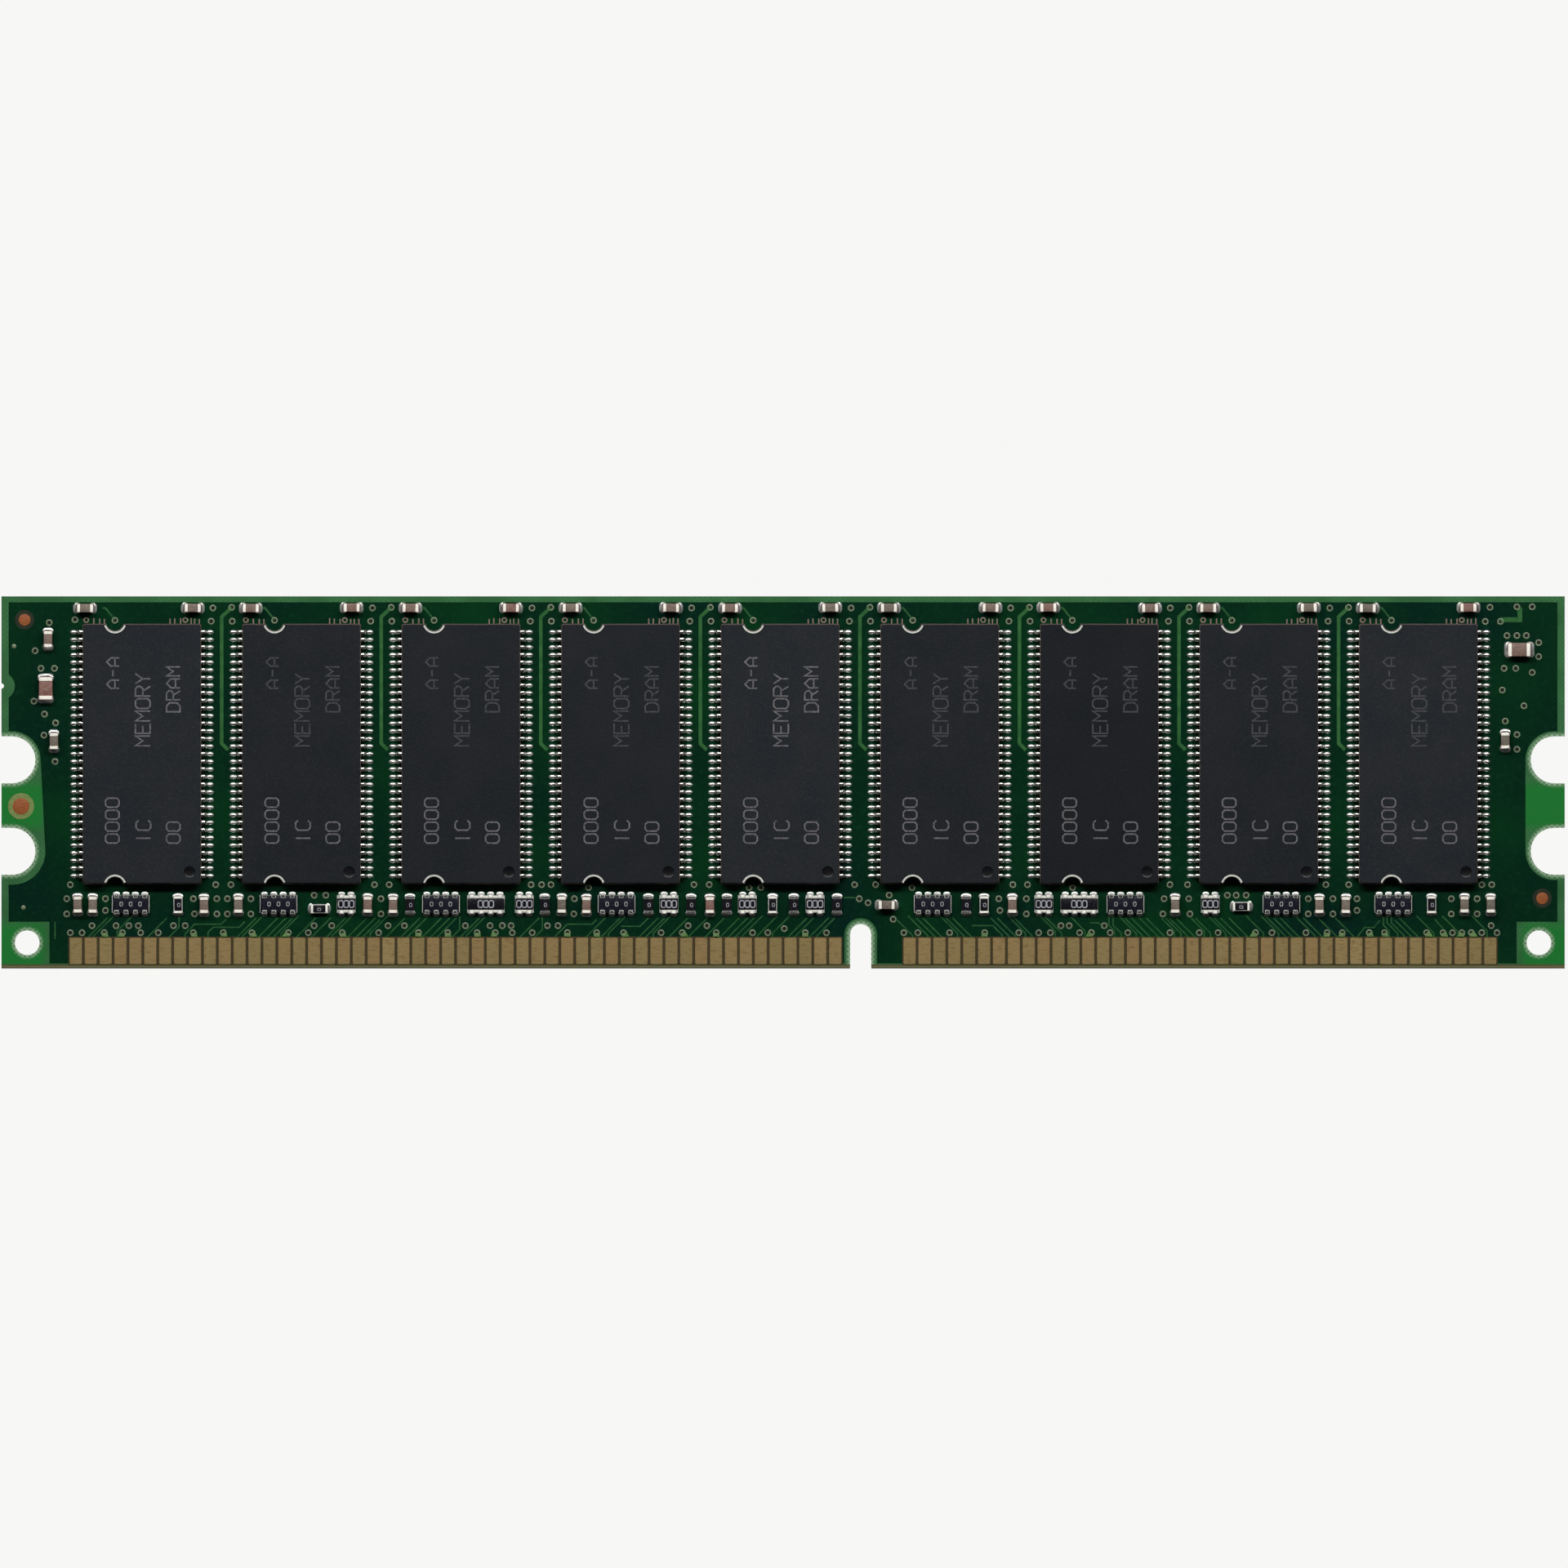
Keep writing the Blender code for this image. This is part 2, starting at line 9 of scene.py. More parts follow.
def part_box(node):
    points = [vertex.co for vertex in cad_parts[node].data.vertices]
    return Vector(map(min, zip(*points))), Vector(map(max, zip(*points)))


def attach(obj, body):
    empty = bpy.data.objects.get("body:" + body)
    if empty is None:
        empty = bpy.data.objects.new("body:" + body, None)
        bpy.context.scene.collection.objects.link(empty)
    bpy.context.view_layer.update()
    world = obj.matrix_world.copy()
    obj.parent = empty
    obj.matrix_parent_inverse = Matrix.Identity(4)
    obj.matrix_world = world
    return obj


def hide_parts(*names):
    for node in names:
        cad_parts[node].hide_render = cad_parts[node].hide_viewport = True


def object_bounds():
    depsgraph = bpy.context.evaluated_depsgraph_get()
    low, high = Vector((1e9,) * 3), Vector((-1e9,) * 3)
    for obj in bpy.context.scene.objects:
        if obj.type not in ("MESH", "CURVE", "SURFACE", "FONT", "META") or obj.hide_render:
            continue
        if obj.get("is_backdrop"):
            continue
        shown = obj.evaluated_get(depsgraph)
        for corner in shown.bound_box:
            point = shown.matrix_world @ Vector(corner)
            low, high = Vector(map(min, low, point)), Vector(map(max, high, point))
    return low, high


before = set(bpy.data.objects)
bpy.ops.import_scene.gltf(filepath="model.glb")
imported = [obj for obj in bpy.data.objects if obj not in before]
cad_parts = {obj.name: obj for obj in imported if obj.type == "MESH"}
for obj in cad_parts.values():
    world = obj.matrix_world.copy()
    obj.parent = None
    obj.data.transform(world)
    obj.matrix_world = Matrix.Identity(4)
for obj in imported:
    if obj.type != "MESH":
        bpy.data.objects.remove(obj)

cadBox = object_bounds()
mm = 0.001
scene = bpy.context.scene
dice = random.Random(184)

boardLow, boardHigh = (Vector(corner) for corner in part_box("circuit_board"))
boardLength = boardHigh.x - boardLow.x
boardHeight = boardHigh.z - boardLow.z

# each side of the board has its own flat space: x to the right, y up the board, z out of it
frontSide = Matrix.Translation((0, boardLow.y, 0)) @ Matrix.Rotation(math.pi / 2, 4, "X")
backSide = Matrix.Translation((0, boardHigh.y, 0)) @ Matrix.Rotation(math.pi, 4, "Z")
backSide = backSide @ Matrix.Rotation(math.pi / 2, 4, "X")


studio = {
    "viewWidth": 133.75,      # mm of board across the picture
    "viewCentre": (0.08, 15.74),
    "cameraDistance": 4.0,
    "lampTilt": 36,           # degrees above the board's own normal
    "lampDistance": 0.32,
    "lampSize": (0.60, 0.042),
    "lampPower": 1.70,
    "sideLamps": (            # direction, size, power
        ((1.0, -0.45, 0.35), 0.45, 0.12),
        ((-1.0, -0.45, 0.35), 0.45, 0.12),
        ((-0.45, 1.0, 0.75), 0.50, 2.2),
        ((0.9, 1.0, 0.3), 0.40, 0.6),
        ((0.0, 0.08, 1.0), 0.40, 0.30),
    ),
    "roomLight": 0.02,
    "backdrop": (0.93, 0.93, 0.92),
    "floorColour": (0.15, 0.15, 0.147),
    "floorGlow": 0.75,        # keeps the far floor pale
    "floorSize": 8.0,
}


def makeCamera():
    lens = bpy.data.cameras.new("copyCamera")
    lens.type = "ORTHO"
    lens.ortho_scale = studio["viewWidth"] * mm
    lens.clip_start = 0.01
    lens.clip_end = 20.0
    camera = bpy.data.objects.new("copyCamera", lens)
    x, z = studio["viewCentre"]
    camera.location = (x * mm, -studio["cameraDistance"], z * mm)
    camera.rotation_euler = (math.pi / 2, 0, 0)
    scene.collection.objects.link(camera)
    scene.camera = camera


def makeLamp(name, direction, distance, size, power):
    lamp = bpy.data.lights.new(name, "AREA")
    lamp.shape = "RECTANGLE"
    lamp.size, lamp.size_y = size
    lamp.energy = power
    holder = bpy.data.objects.new(name, lamp)
    target = Vector((0, boardLow.y, boardHeight / 2))
    holder.location = target + Vector(direction).normalized() * distance
    holder.rotation_euler = (target - holder.location).to_track_quat("-Z", "Y").to_euler()
    holder.visible_camera = False
    scene.collection.objects.link(holder)


def makeStudio():
    tilt = math.radians(studio["lampTilt"])
    towards = (0, -math.cos(tilt), math.sin(tilt))
    makeLamp("barLamp", towards, studio["lampDistance"], studio["lampSize"], studio["lampPower"])
    for number, (direction, size, power) in enumerate(studio["sideLamps"], 1):
        makeLamp(f"softLamp_{number}", direction, 0.55, (size, size), power)
    world = bpy.data.worlds.new("paleRoom")
    world.use_nodes = True
    scene.world = world
    tree = world.node_tree
    room = tree.nodes["Background"]
    room.inputs["Color"].default_value = (1.0, 1.0, 1.0, 1.0)
    room.inputs["Strength"].default_value = studio["roomLight"]
    backdrop = tree.nodes.new("ShaderNodeBackground")
    backdrop.inputs["Color"].default_value = (*studio["backdrop"], 1.0)
    seen = tree.nodes.new("ShaderNodeLightPath")
    mix = tree.nodes.new("ShaderNodeMixShader")
    tree.links.new(seen.outputs["Is Camera Ray"], mix.inputs["Fac"])
    tree.links.new(room.outputs["Background"], mix.inputs[1])
    tree.links.new(backdrop.outputs["Background"], mix.inputs[2])
    tree.links.new(mix.outputs["Shader"], tree.nodes["World Output"].inputs["Surface"])
    scene.view_settings.view_transform = "Standard"
    print("lamps:", 1 + len(studio["sideLamps"]))


def rgb(red, green, blue):   # screen values 0-255 to linear light
    return tuple(c / 3294.6 if c < 11 else ((c / 255 + 0.055) / 1.055) ** 2.4 for c in (red, green, blue))


def newFinish(name, roughness, metallic=0.0, specular=0.5):
    finish = bpy.data.materials.new(name)
    finish.use_nodes = True
    shader = finish.node_tree.nodes["Principled BSDF"]
    for socket, value in (("Roughness", roughness), ("Metallic", metallic), ("Specular IOR Level", specular)):
        shader.inputs[socket].default_value = value
    return finish, finish.node_tree, shader


def plug(tree, socket, value):
    # a value is another node's output, a number or a colour
    if isinstance(value, bpy.types.NodeSocket):
        tree.links.new(value, socket)
    elif value is not None:
        socket.default_value = (*value, 1.0) if socket.type == "RGBA" else value


def addNode(tree, kind, inputs=None, **settings):
    node = tree.nodes.new("ShaderNode" + kind)
    for name, value in settings.items():
        setattr(node, name, value)
    for name, value in (inputs or {}).items():
        plug(tree, node.inputs[name], value)
    return node


def coordsOf(tree, stretch=(1, 1, 1), shuffle=True):
    # object coordinates, shifted by a different amount on each piece
    place = addNode(tree, "TexCoord").outputs["Object"]
    mapped = addNode(tree, "Mapping", {"Scale": stretch, "Vector": place}).outputs["Vector"]
    if not shuffle:
        return mapped
    chance = addNode(tree, "ObjectInfo").outputs["Random"]
    return addNode(tree, "VectorMath", {0: mapped, 1: chance}, operation="ADD").outputs["Vector"]


def grain(tree, size, stretch=(1, 1, 1), detail=3.0, shuffle=True):
    # size is the width of one blotch in mm
    place = coordsOf(tree, stretch, shuffle)
    noise = addNode(tree, "TexNoise", {"Scale": 1 / (size * mm), "Detail": detail, "Vector": place})
    return noise.outputs["Fac"]


def ramp(tree, factor, stops):
    colours = addNode(tree, "ValToRGB", {"Fac": factor})
    stripe = colours.color_ramp
    while len(stripe.elements) < len(stops):
        stripe.elements.new(0.5)
    for element, (position, colour) in zip(stripe.elements, stops):
        element.position = position
        element.color = (*colour, 1.0)
    return colours.outputs["Color"]


def blend(tree, factor, first, second):
    return addNode(tree, "Mix", {0: factor, 6: first, 7: second}, data_type="RGBA").outputs[2]


def bands(tree, value, low, high):
    # 0 below low, 1 above high
    limits = {"From Min": low, "From Max": high, "Value": value}
    return addNode(tree, "MapRange", limits, interpolation_type="SMOOTHSTEP").outputs["Result"]


def sums(tree, operation, first, second=None):
    return addNode(tree, "Math", {0: first, 1: second}, operation=operation).outputs["Value"]


def split(tree, vector):
    return addNode(tree, "SeparateXYZ", {"Vector": vector}).outputs


def faceNormal(tree):
    return split(tree, addNode(tree, "NewGeometry").outputs["True Normal"])


def varyRoughness(tree, shader, factor, low, high):
    spread = addNode(tree, "MapRange", {"To Min": low, "To Max": high, "Value": factor})
    plug(tree, shader.inputs["Roughness"], spread.outputs["Result"])


def addBump(tree, shader, height, depth):
    # depth in mm
    bump = addNode(tree, "Bump", {"Strength": 0.5, "Distance": depth * mm, "Height": height})
    plug(tree, shader.inputs["Normal"], bump.outputs["Normal"])


def colourFrom(tree, shader, colour):
    plug(tree, shader.inputs["Base Color"], colour)


boardLook = {
    "bareMask": (rgb(48, 94, 56), rgb(60, 109, 68)),
    "brightMask": rgb(26, 120, 46),
    "laminate": (rgb(112, 112, 74), rgb(158, 152, 108)),
    "weavePitch": 0.45,
    "layers": 9,
    "brightEnds": (4.2, 3.0),         # mm in from the board's ends: where it starts, where it is full
    "brightCorners": (4.6, 3.0),      # mm up from the contact edge
    "brightBetween": (2.6, 1.2),      # mm from halfway between the notches
    "rimWidth": 0.42,
    "rimColour": rgb(146, 174, 142),
}


def boardFinish():
    look = boardLook
    finish, tree, shader = newFinish("solderMaskOnLaminate", 0.22, specular=0.3)

    def calc(operation, first, second=None):
        return sums(tree, operation, first, second)

    def fade(value, start, full):
        return bands(tree, value, start * mm, full * mm)

    blotches = grain(tree, 2.2, shuffle=False)
    mask = ramp(tree, blotches, [(0.35, look["bareMask"][0]), (0.65, look["bareMask"][1])])
    place = split(tree, addNode(tree, "TexCoord").outputs["Object"])
    # no copper in any layer at the two lower corners and between the notches, so the mask looks brighter
    fromMiddle = calc("ABSOLUTE", place["X"])
    height = place["Z"]
    nearEnd = fade(fromMiddle, *(halfLength - inset for inset in look["brightEnds"]))
    between = calc("ABSOLUTE", calc("SUBTRACT", height, sum(notch["heights"]) / 2 * mm))
    both = calc("MAXIMUM", fade(height, *look["brightCorners"]), fade(between, *look["brightBetween"]))
    mask = blend(tree, calc("MULTIPLY", nearEnd, both), mask, look["brightMask"])
    # the mask turns pale in a rim round the notches, holes and key slot
    notchX = halfLength - notch["depth"] + notch["radius"]
    rimCentres = [("notch", notchX, z, notch["radius"]) for z in notch["heights"]]
    rimCentres.append(("hole", halfLength - toolingHole["inset"], toolingHole["height"], toolingHole["radius"]))
    rimCentres.append(("key", keySlot["x"], keySlot["height"] - keySlot["width"] / 2, keySlot["width"] / 2))
    nearest = 1.0
    for spot, x, z, radius in rimCentres:
        across = calc("SUBTRACT", place["X"] if spot == "key" else fromMiddle, x * mm)
        along = calc("SUBTRACT", height, z * mm)
        if spot == "notch":
            across = calc("MINIMUM", across, 0.0)
        if spot == "key":
            along = calc("MAXIMUM", along, 0.0)
        square = calc("ADD", calc("MULTIPLY", across, across), calc("MULTIPLY", along, along))
        nearest = calc("MINIMUM", nearest, calc("SUBTRACT", calc("SQRT", square), radius * mm))
    mask = blend(tree, fade(nearest, look["rimWidth"], 0.03), mask, look["rimColour"])
    # glass cloth shows faintly through the mask
    wave = 2 * math.pi / (look["weavePitch"] * mm)
    weave = calc("MULTIPLY", *(calc("SINE", calc("MULTIPLY", place[axis], wave)) for axis in "XZ"))
    mask = blend(tree, bands(tree, weave, -0.4, 1.4), mask, look["bareMask"][0])
    # cut edges show the laminate's layers
    layerWave = 2 * math.pi * look["layers"] / (boardHigh.y - boardLow.y)
    layers = calc("SINE", calc("MULTIPLY", place["Y"], layerWave))
    layers = calc("ADD", layers, grain(tree, 0.25, shuffle=False))
    pale, full = look["laminate"]
    edge = ramp(tree, bands(tree, layers, -0.4, 1.6), [(0.2, pale), (0.8, full)])
    onFace = bands(tree, calc("ABSOLUTE", faceNormal(tree)["Y"]), 0.90, 0.95)
    colourFrom(tree, shader, blend(tree, onFace, edge, mask))
    varyRoughness(tree, shader, onFace, 0.75, 0.22)
    addBump(tree, shader, weave, 0.001)
    return finish


def maskedCopperFinish():
    finish, tree, shader = newFinish("solderMaskOnCopper", 0.16, specular=0.2)
    wide = grain(tree, 9.0, detail=2.0)
    colour = ramp(tree, wide, [(0.30, rgb(6, 35, 27)), (0.50, rgb(7, 40, 24)), (0.70, rgb(8, 49, 24))])
    fine = grain(tree, 0.35, detail=4.0)
    colourFrom(tree, shader, blend(tree, bands(tree, fine, 0.45, 1.1), colour, rgb(16, 60, 34)))
    varyRoughness(tree, shader, fine, 0.12, 0.20)
    addBump(tree, shader, fine, 0.002)
    return finish


def mottled(name, low, high, size, roughness, metallic=0.0, specular=0.5, depth=0.004, spread=0.1):
    finish, tree, shader = newFinish(name, roughness, metallic, specular)
    noise = grain(tree, size, detail=4.0)
    colourFrom(tree, shader, ramp(tree, noise, [(0.3, rgb(*low)), (0.7, rgb(*high))]))
    varyRoughness(tree, shader, noise, roughness - spread, roughness + spread)
    addBump(tree, shader, noise, depth)
    return finish


def goldFinish():
    finish, tree, shader = newFinish("wornContactGold", 0.5, 1.0)
    fingers = addNode(tree, "NewGeometry").outputs["Random Per Island"]
    tone = ramp(tree, fingers, [(0.0, rgb(164, 145, 98)), (0.35, rgb(170, 150, 102)),
                                (0.7, rgb(173, 146, 100)), (1.0, rgb(178, 158, 108))])
    wipes = grain(tree, 0.12, (0.2, 1, 1), detail=3.0)       # fine brushing across the fingers
    colour = blend(tree, bands(tree, wipes, 0.45, 0.85), tone, rgb(136, 114, 78))
    stains = grain(tree, 0.5, detail=3.0)
    colourFrom(tree, shader, blend(tree, bands(tree, stains, 0.52, 0.9), colour, rgb(136, 100, 70)))
    varyRoughness(tree, shader, wipes, 0.42, 0.58)
    addBump(tree, shader, wipes, 0.002)
    return finish


epoxyLook = {
    "top": ((19, 24, 29), (25, 28, 32)),
    "speck": (45, 46, 50),
    # painted highlight: the paler colour given to the drafted side walls for the light they catch
    "side": rgb(92, 82, 78),
    "speckSize": 0.14,
}


def epoxyFinish(name, lift):
    # lift makes one batch of moulding compound paler or darker than the next
    look = epoxyLook
    low, high, speck = (rgb(*(c + lift for c in colour)) for colour in (*look["top"], look["speck"]))
    finish, tree, shader = newFinish(name, 0.6, specular=0.14)
    fine = grain(tree, look["speckSize"], detail=3.0)
    colour = ramp(tree, grain(tree, 4.0, detail=2.0), [(0.3, low), (0.7, high)])
    colour = blend(tree, bands(tree, fine, 0.45, 0.95), colour, speck)
    # the drafted sides are painted paler than the top: a painted highlight for the light falling on the walls
    steep = bands(tree, sums(tree, "ABSOLUTE", faceNormal(tree)["Y"]), 0.5, 0.2)
    colourFrom(tree, shader, blend(tree, steep, colour, look["side"]))
    varyRoughness(tree, shader, fine, 0.5, 0.7)
    addBump(tree, shader, fine, 0.004)
    return finish


def capacitorFinish():
    # every reel of capacitors is fired to a slightly different brown
    finish, tree, shader = newFinish("capacitorCeramic", 0.55, specular=0.3)
    reel = addNode(tree, "ObjectInfo").outputs["Random"]
    batch = ramp(tree, reel, [(0.0, rgb(92, 87, 78)), (0.5, rgb(108, 97, 87)),
                              (0.85, rgb(117, 88, 78)), (1.0, rgb(122, 80, 73))])
    noise = grain(tree, 0.15, detail=4.0)
    colourFrom(tree, shader, blend(tree, bands(tree, noise, 0.4, 0.8), batch, rgb(138, 125, 111)))
    varyRoughness(tree, shader, noise, 0.45, 0.65)
    addBump(tree, shader, noise, 0.003)
    return finish


def makeFinishes():
    # the plain ones: dark and pale tone, width of a blotch in mm, roughness, metallic
    return {
        "board": boardFinish(),
        "maskedCopper": maskedCopperFinish(),
        "maskedTrace": mottled("maskedTrace", (32, 74, 42), (50, 94, 54), 0.4, 0.25,
                               specular=0.3, spread=0.05),
        "thickTrace": mottled("thickTrace", (40, 86, 46), (54, 102, 56), 0.8, 0.25,
                              specular=0.3, spread=0.05),
        "floodedPad": mottled("floodedPad", (72, 116, 58), (104, 140, 78), 0.4, 0.3, specular=0.3),
        "gold": goldFinish(),
        "viaRing": mottled("tinnedViaRing", (77, 91, 67), (124, 135, 105), 0.12, 0.45),
        "stub": mottled("tinnedStub", (92, 76, 64), (132, 112, 98), 0.12, 0.5),
        # painted shade: a near-black disc where the via's hole lies in shade
        "viaHoleShade": mottled("viaHoleShade", (8, 14, 8), (18, 26, 16), 0.1, 0.7, specular=0.2),
        "copper": mottled("bareCopper", (122, 66, 30), (154, 88, 44), 0.15, 0.5, specular=0.3),
        # bare laminate between the contacts, painted darker than its own colour as shade in the gaps
        "opening": mottled("openedLaminateWithGapShade", (48, 40, 22), (74, 62, 36), 0.15, 0.7, specular=0.2),
        "ringLaminate": mottled("ringLaminate", (22, 30, 18), (40, 44, 26), 0.15, 0.6, specular=0.2),
        "paleRing": mottled("paleRing", (96, 118, 62), (124, 138, 78), 0.2, 0.5, specular=0.3),
        "epoxy": epoxyFinish("mouldedEpoxy", 0),
        "paleEpoxy": epoxyFinish("paleMouldedEpoxy", 5),
        "darkEpoxy": epoxyFinish("darkMouldedEpoxy", -6),
        "polishedEpoxy": mottled("polishedEpoxy", (13, 13, 15), (19, 19, 22), 0.3, 0.35, specular=0.2),
        # painted highlight: a near-white rim for the light caught by each notch's wall
        "notchRim": mottled("notchRimPaintedHighlight", (176, 178, 170), (216, 216, 208), 0.1, 0.4),
        "laserMark": mottled("laserMark", (71, 71, 75), (118, 115, 117), 0.16, 0.8, specular=0.1),
        "faintMark": mottled("faintMark", (50, 51, 55), (82, 81, 84), 0.16, 0.8, specular=0.1),
        "lead": mottled("tinnedLead", (204, 201, 196), (236, 234, 230), 0.15, 0.27, 1.0, spread=0.05),
        "solder": mottled("solder", (206, 205, 201), (242, 241, 237), 0.25, 0.32, 1.0,
                          depth=0.001, spread=0.05),
        "flatTerminal": mottled("flatTerminal", (200, 198, 194), (230, 228, 222), 0.2, 0.26, 1.0,
                                spread=0.05),
        "terminal": mottled("tinnedTerminal", (236, 230, 216), (250, 247, 238), 0.2, 0.45, 0.1),
        "capacitor": capacitorFinish(),
        "alumina": mottled("resistorAlumina", (150, 154, 148), (186, 186, 180), 0.1, 0.5, specular=0.3),
        "glaze": mottled("resistorGlaze", (18, 18, 22), (28, 27, 33), 0.2, 0.25, specular=0.25),
        "blueGlaze": mottled("networkGlaze", (24, 25, 33), (31, 32, 41), 0.3, 0.25, specular=0.2),
        "valueMark": mottled("valueMark", (128, 130, 138), (178, 178, 182), 0.1, 0.6, specular=0.2),
        "silicon": mottled("polishedSilicon", (70, 74, 84), (90, 92, 104), 0.6, 0.18, 0.5),
    }


def closeMesh(bm, name, angle=35):
    bmesh.ops.recalc_face_normals(bm, faces=bm.faces)
    bmesh.ops.triangulate(bm, faces=[face for face in bm.faces if len(face.verts) > 4])
    mesh = bpy.data.meshes.new(name)
    bm.to_mesh(mesh)
    bm.free()
    mesh.shade_smooth()
    mesh.set_sharp_from_angle(angle=math.radians(angle))
    return mesh


def addPiece(name, mesh, looks, slotName, side=frontSide, at=(0, 0, 0), turn=0.0, replaces=()):
    # at is in mm on that side of the board, turn in degrees about its normal
    if isinstance(mesh, bmesh.types.BMesh):
        mesh = closeMesh(mesh, name)
    if not mesh.materials:
        for look in looks:
            mesh.materials.append(finishes[look])
    piece = bpy.data.objects.new(name, mesh)
    scene.collection.objects.link(piece)
    spin = Matrix.Rotation(math.radians(turn), 4, "Z")
    piece.matrix_world = side @ Matrix.Translation(Vector(at) * mm) @ spin
    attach(piece, "root")
    if replaces:
        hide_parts(*replaces)


def addLoop(bm, spots):
    return [bm.verts.new((x * mm, y * mm, z * mm)) for x, y, z in spots]


def joinLoops(bm, loops, mat=0, closed=False):
    # four-cornered faces from each loop of points to the next
    count = len(loops[0])
    for lower, upper in zip(loops, loops[1:] + loops[:closed]):
        for i in range(count):
            j = (i + 1) % count
            bm.faces.new((lower[i], lower[j], upper[j], upper[i])).material_index = mat


def capLoops(bm, loops, mat=0):
    bm.faces.new(list(reversed(loops[0]))).material_index = mat
    bm.faces.new(loops[-1]).material_index = mat


def addBlock(bm, size, centre, bevel=0.0, mat=0, segments=2, taper=0.0):
    verts = bmesh.ops.create_cube(bm, size=1.0)["verts"]
    for vert in verts:
        inset = 2 * taper if vert.co.z > 0 else 0.0
        vert.co.x = vert.co.x * (size[0] - inset) + centre[0]
        vert.co.y = vert.co.y * (size[1] - inset) + centre[1]
        vert.co.z = vert.co.z * size[2] + centre[2]
        vert.co *= mm
    faces = {face for vert in verts for face in vert.link_faces}
    for face in faces:
        face.material_index = mat
    if bevel:
        edges = list({edge for vert in verts for edge in vert.link_edges})
        bmesh.ops.bevel(bm, geom=edges, offset=bevel * mm, segments=segments, profile=0.5, affect="EDGES")


def addLoft(bm, outlines, heights, mat=0):
    # outlines in mm, the same number of points at each height
    loops = [addLoop(bm, [(x, y, z) for x, y in outline]) for outline, z in zip(outlines, heights)]
    joinLoops(bm, loops, mat)
    capLoops(bm, loops, mat)


def addRibbon(bm, points, width, base, top, mat=0, closed=False):
    # a flat strip along a line
    path = [Vector(point) for point in points]
    count = len(path)
    loops = []
    for i, here in enumerate(path):
        before = path[i - 1] if closed or i else here * 2 - path[1]
        after = path[(i + 1) % count] if closed or i < count - 1 else here * 2 - path[i - 1]
        inward = (here - before).normalized()
        along = (inward + (after - here).normalized()).normalized()
        side = Vector((-along.y, along.x)) * (width / 2 / max(along.dot(inward), 0.4))
        left, right = here + side, here - side
        loops.append(addLoop(bm, [(*left, base), (*right, base), (*right, top), (*left, top)]))
    joinLoops(bm, loops, mat, closed)
    if not closed:
        capLoops(bm, loops, mat)


def addRing(bm, centre, outer, inner, height, segments=14, mat=0, base=0.0):
    shoulder = (outer - inner) * 0.3
    top = base + height
    profile = ((inner, base), (inner + shoulder, top), (outer - shoulder, top), (outer, base))
    loops = []
    for step in range(segments):
        angle = 2 * math.pi * step / segments
        across, up = math.cos(angle), math.sin(angle)
        loops.append(addLoop(bm, [(centre[0] + r * across, centre[1] + r * up, z) for r, z in profile]))
    joinLoops(bm, loops, mat, True)


def addDome(bm, centre, radii, height, power=1.0, rings=4, segments=12, mat=0, base=0.0):
    # a closed mound: power over 1 gives the hollow curve of wetted solder
    loops = []
    for ring in range(rings):
        share = 1 - ring / rings
        z = base + height * (1 - share * share) ** power
        circle = arc((0, 0), share, 0, 360 - 360 / segments, segments - 1)
        spots = [(centre[0] + radii[0] * x, centre[1] + radii[1] * y, z) for x, y in circle]
        loops.append(addLoop(bm, spots))
    joinLoops(bm, loops, mat)
    tip = addLoop(bm, [(*centre, base + height)])[0]
    for i in range(segments):
        bm.faces.new((loops[-1][i], loops[-1][(i + 1) % segments], tip)).material_index = mat
    bm.faces.new(list(reversed(loops[0]))).material_index = mat


def arc(centre, radius, start, stop, steps):
    points = []
    for step in range(steps + 1):
        angle = math.radians(start + (stop - start) * step / steps)
        points.append((centre[0] + radius * math.cos(angle), centre[1] + radius * math.sin(angle)))
    return points


def roundedBox(width, height, radius, steps=3):
    points = []
    for x, y, start in ((1, 1, 0), (-1, 1, 90), (-1, -1, 180), (1, -1, 270)):
        corner = (x * (width / 2 - radius), y * (height / 2 - radius))
        points += arc(corner, radius, start, start + 90, steps)
    return points


def middle(node):
    # centre of a CAD node on the front side, in mm
    low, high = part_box(node)
    return ((low[0] + high[0]) / 2 / mm, (low[2] + high[2]) / 2 / mm)


roundLetter = [(1, 0), (3, 0), (4, 1), (4, 5), (3, 6), (1, 6), (0, 5), (0, 1), (1, 0)]
letters = {   # strokes on a grid 4 wide and 6 high
    "0": [roundLetter],
    "A": [[(0, 0), (0, 4), (2, 6), (4, 4), (4, 0)], [(0, 2), (4, 2)]],
    "C": [[(4, 1), (3, 0), (1, 0), (0, 1), (0, 5), (1, 6), (3, 6), (4, 5)]],
    "D": [[(0, 0), (0, 6), (2.6, 6), (4, 4.6), (4, 1.4), (2.6, 0), (0, 0)]],
    "E": [[(4, 0), (0, 0), (0, 6), (4, 6)], [(0, 3), (3, 3)]],
    "I": [[(2, 0), (2, 6)]],
    "M": [[(0, 0), (0, 6), (2, 3), (4, 6), (4, 0)]],
    "O": [roundLetter],
    "R": [[(0, 0), (0, 6), (3, 6), (4, 5), (4, 4), (3, 3), (0, 3)], [(2, 3), (4, 0)]],
    "Y": [[(0, 6), (2, 3), (4, 6)], [(2, 3), (2, 0)]],
    "-": [[(0.5, 3), (3.5, 3)]],
}


def addText(bm, text, at, height, advance, stroke, base, top, upward=False, mat=0):
    # upward text reads from the bottom of the board to its top
    unit = height / 6
    for index, letter in enumerate(text):
        for line in letters.get(letter, []):
            points = [(index * advance + x * unit, y * unit) for x, y in line]
            points = [(at[0] - y, at[1] + x) if upward else (at[0] + x, at[1] + y) for x, y in points]
            closed = points[0] == points[-1]
            addRibbon(bm, points[:-1] if closed else points, stroke, base, top, mat, closed)


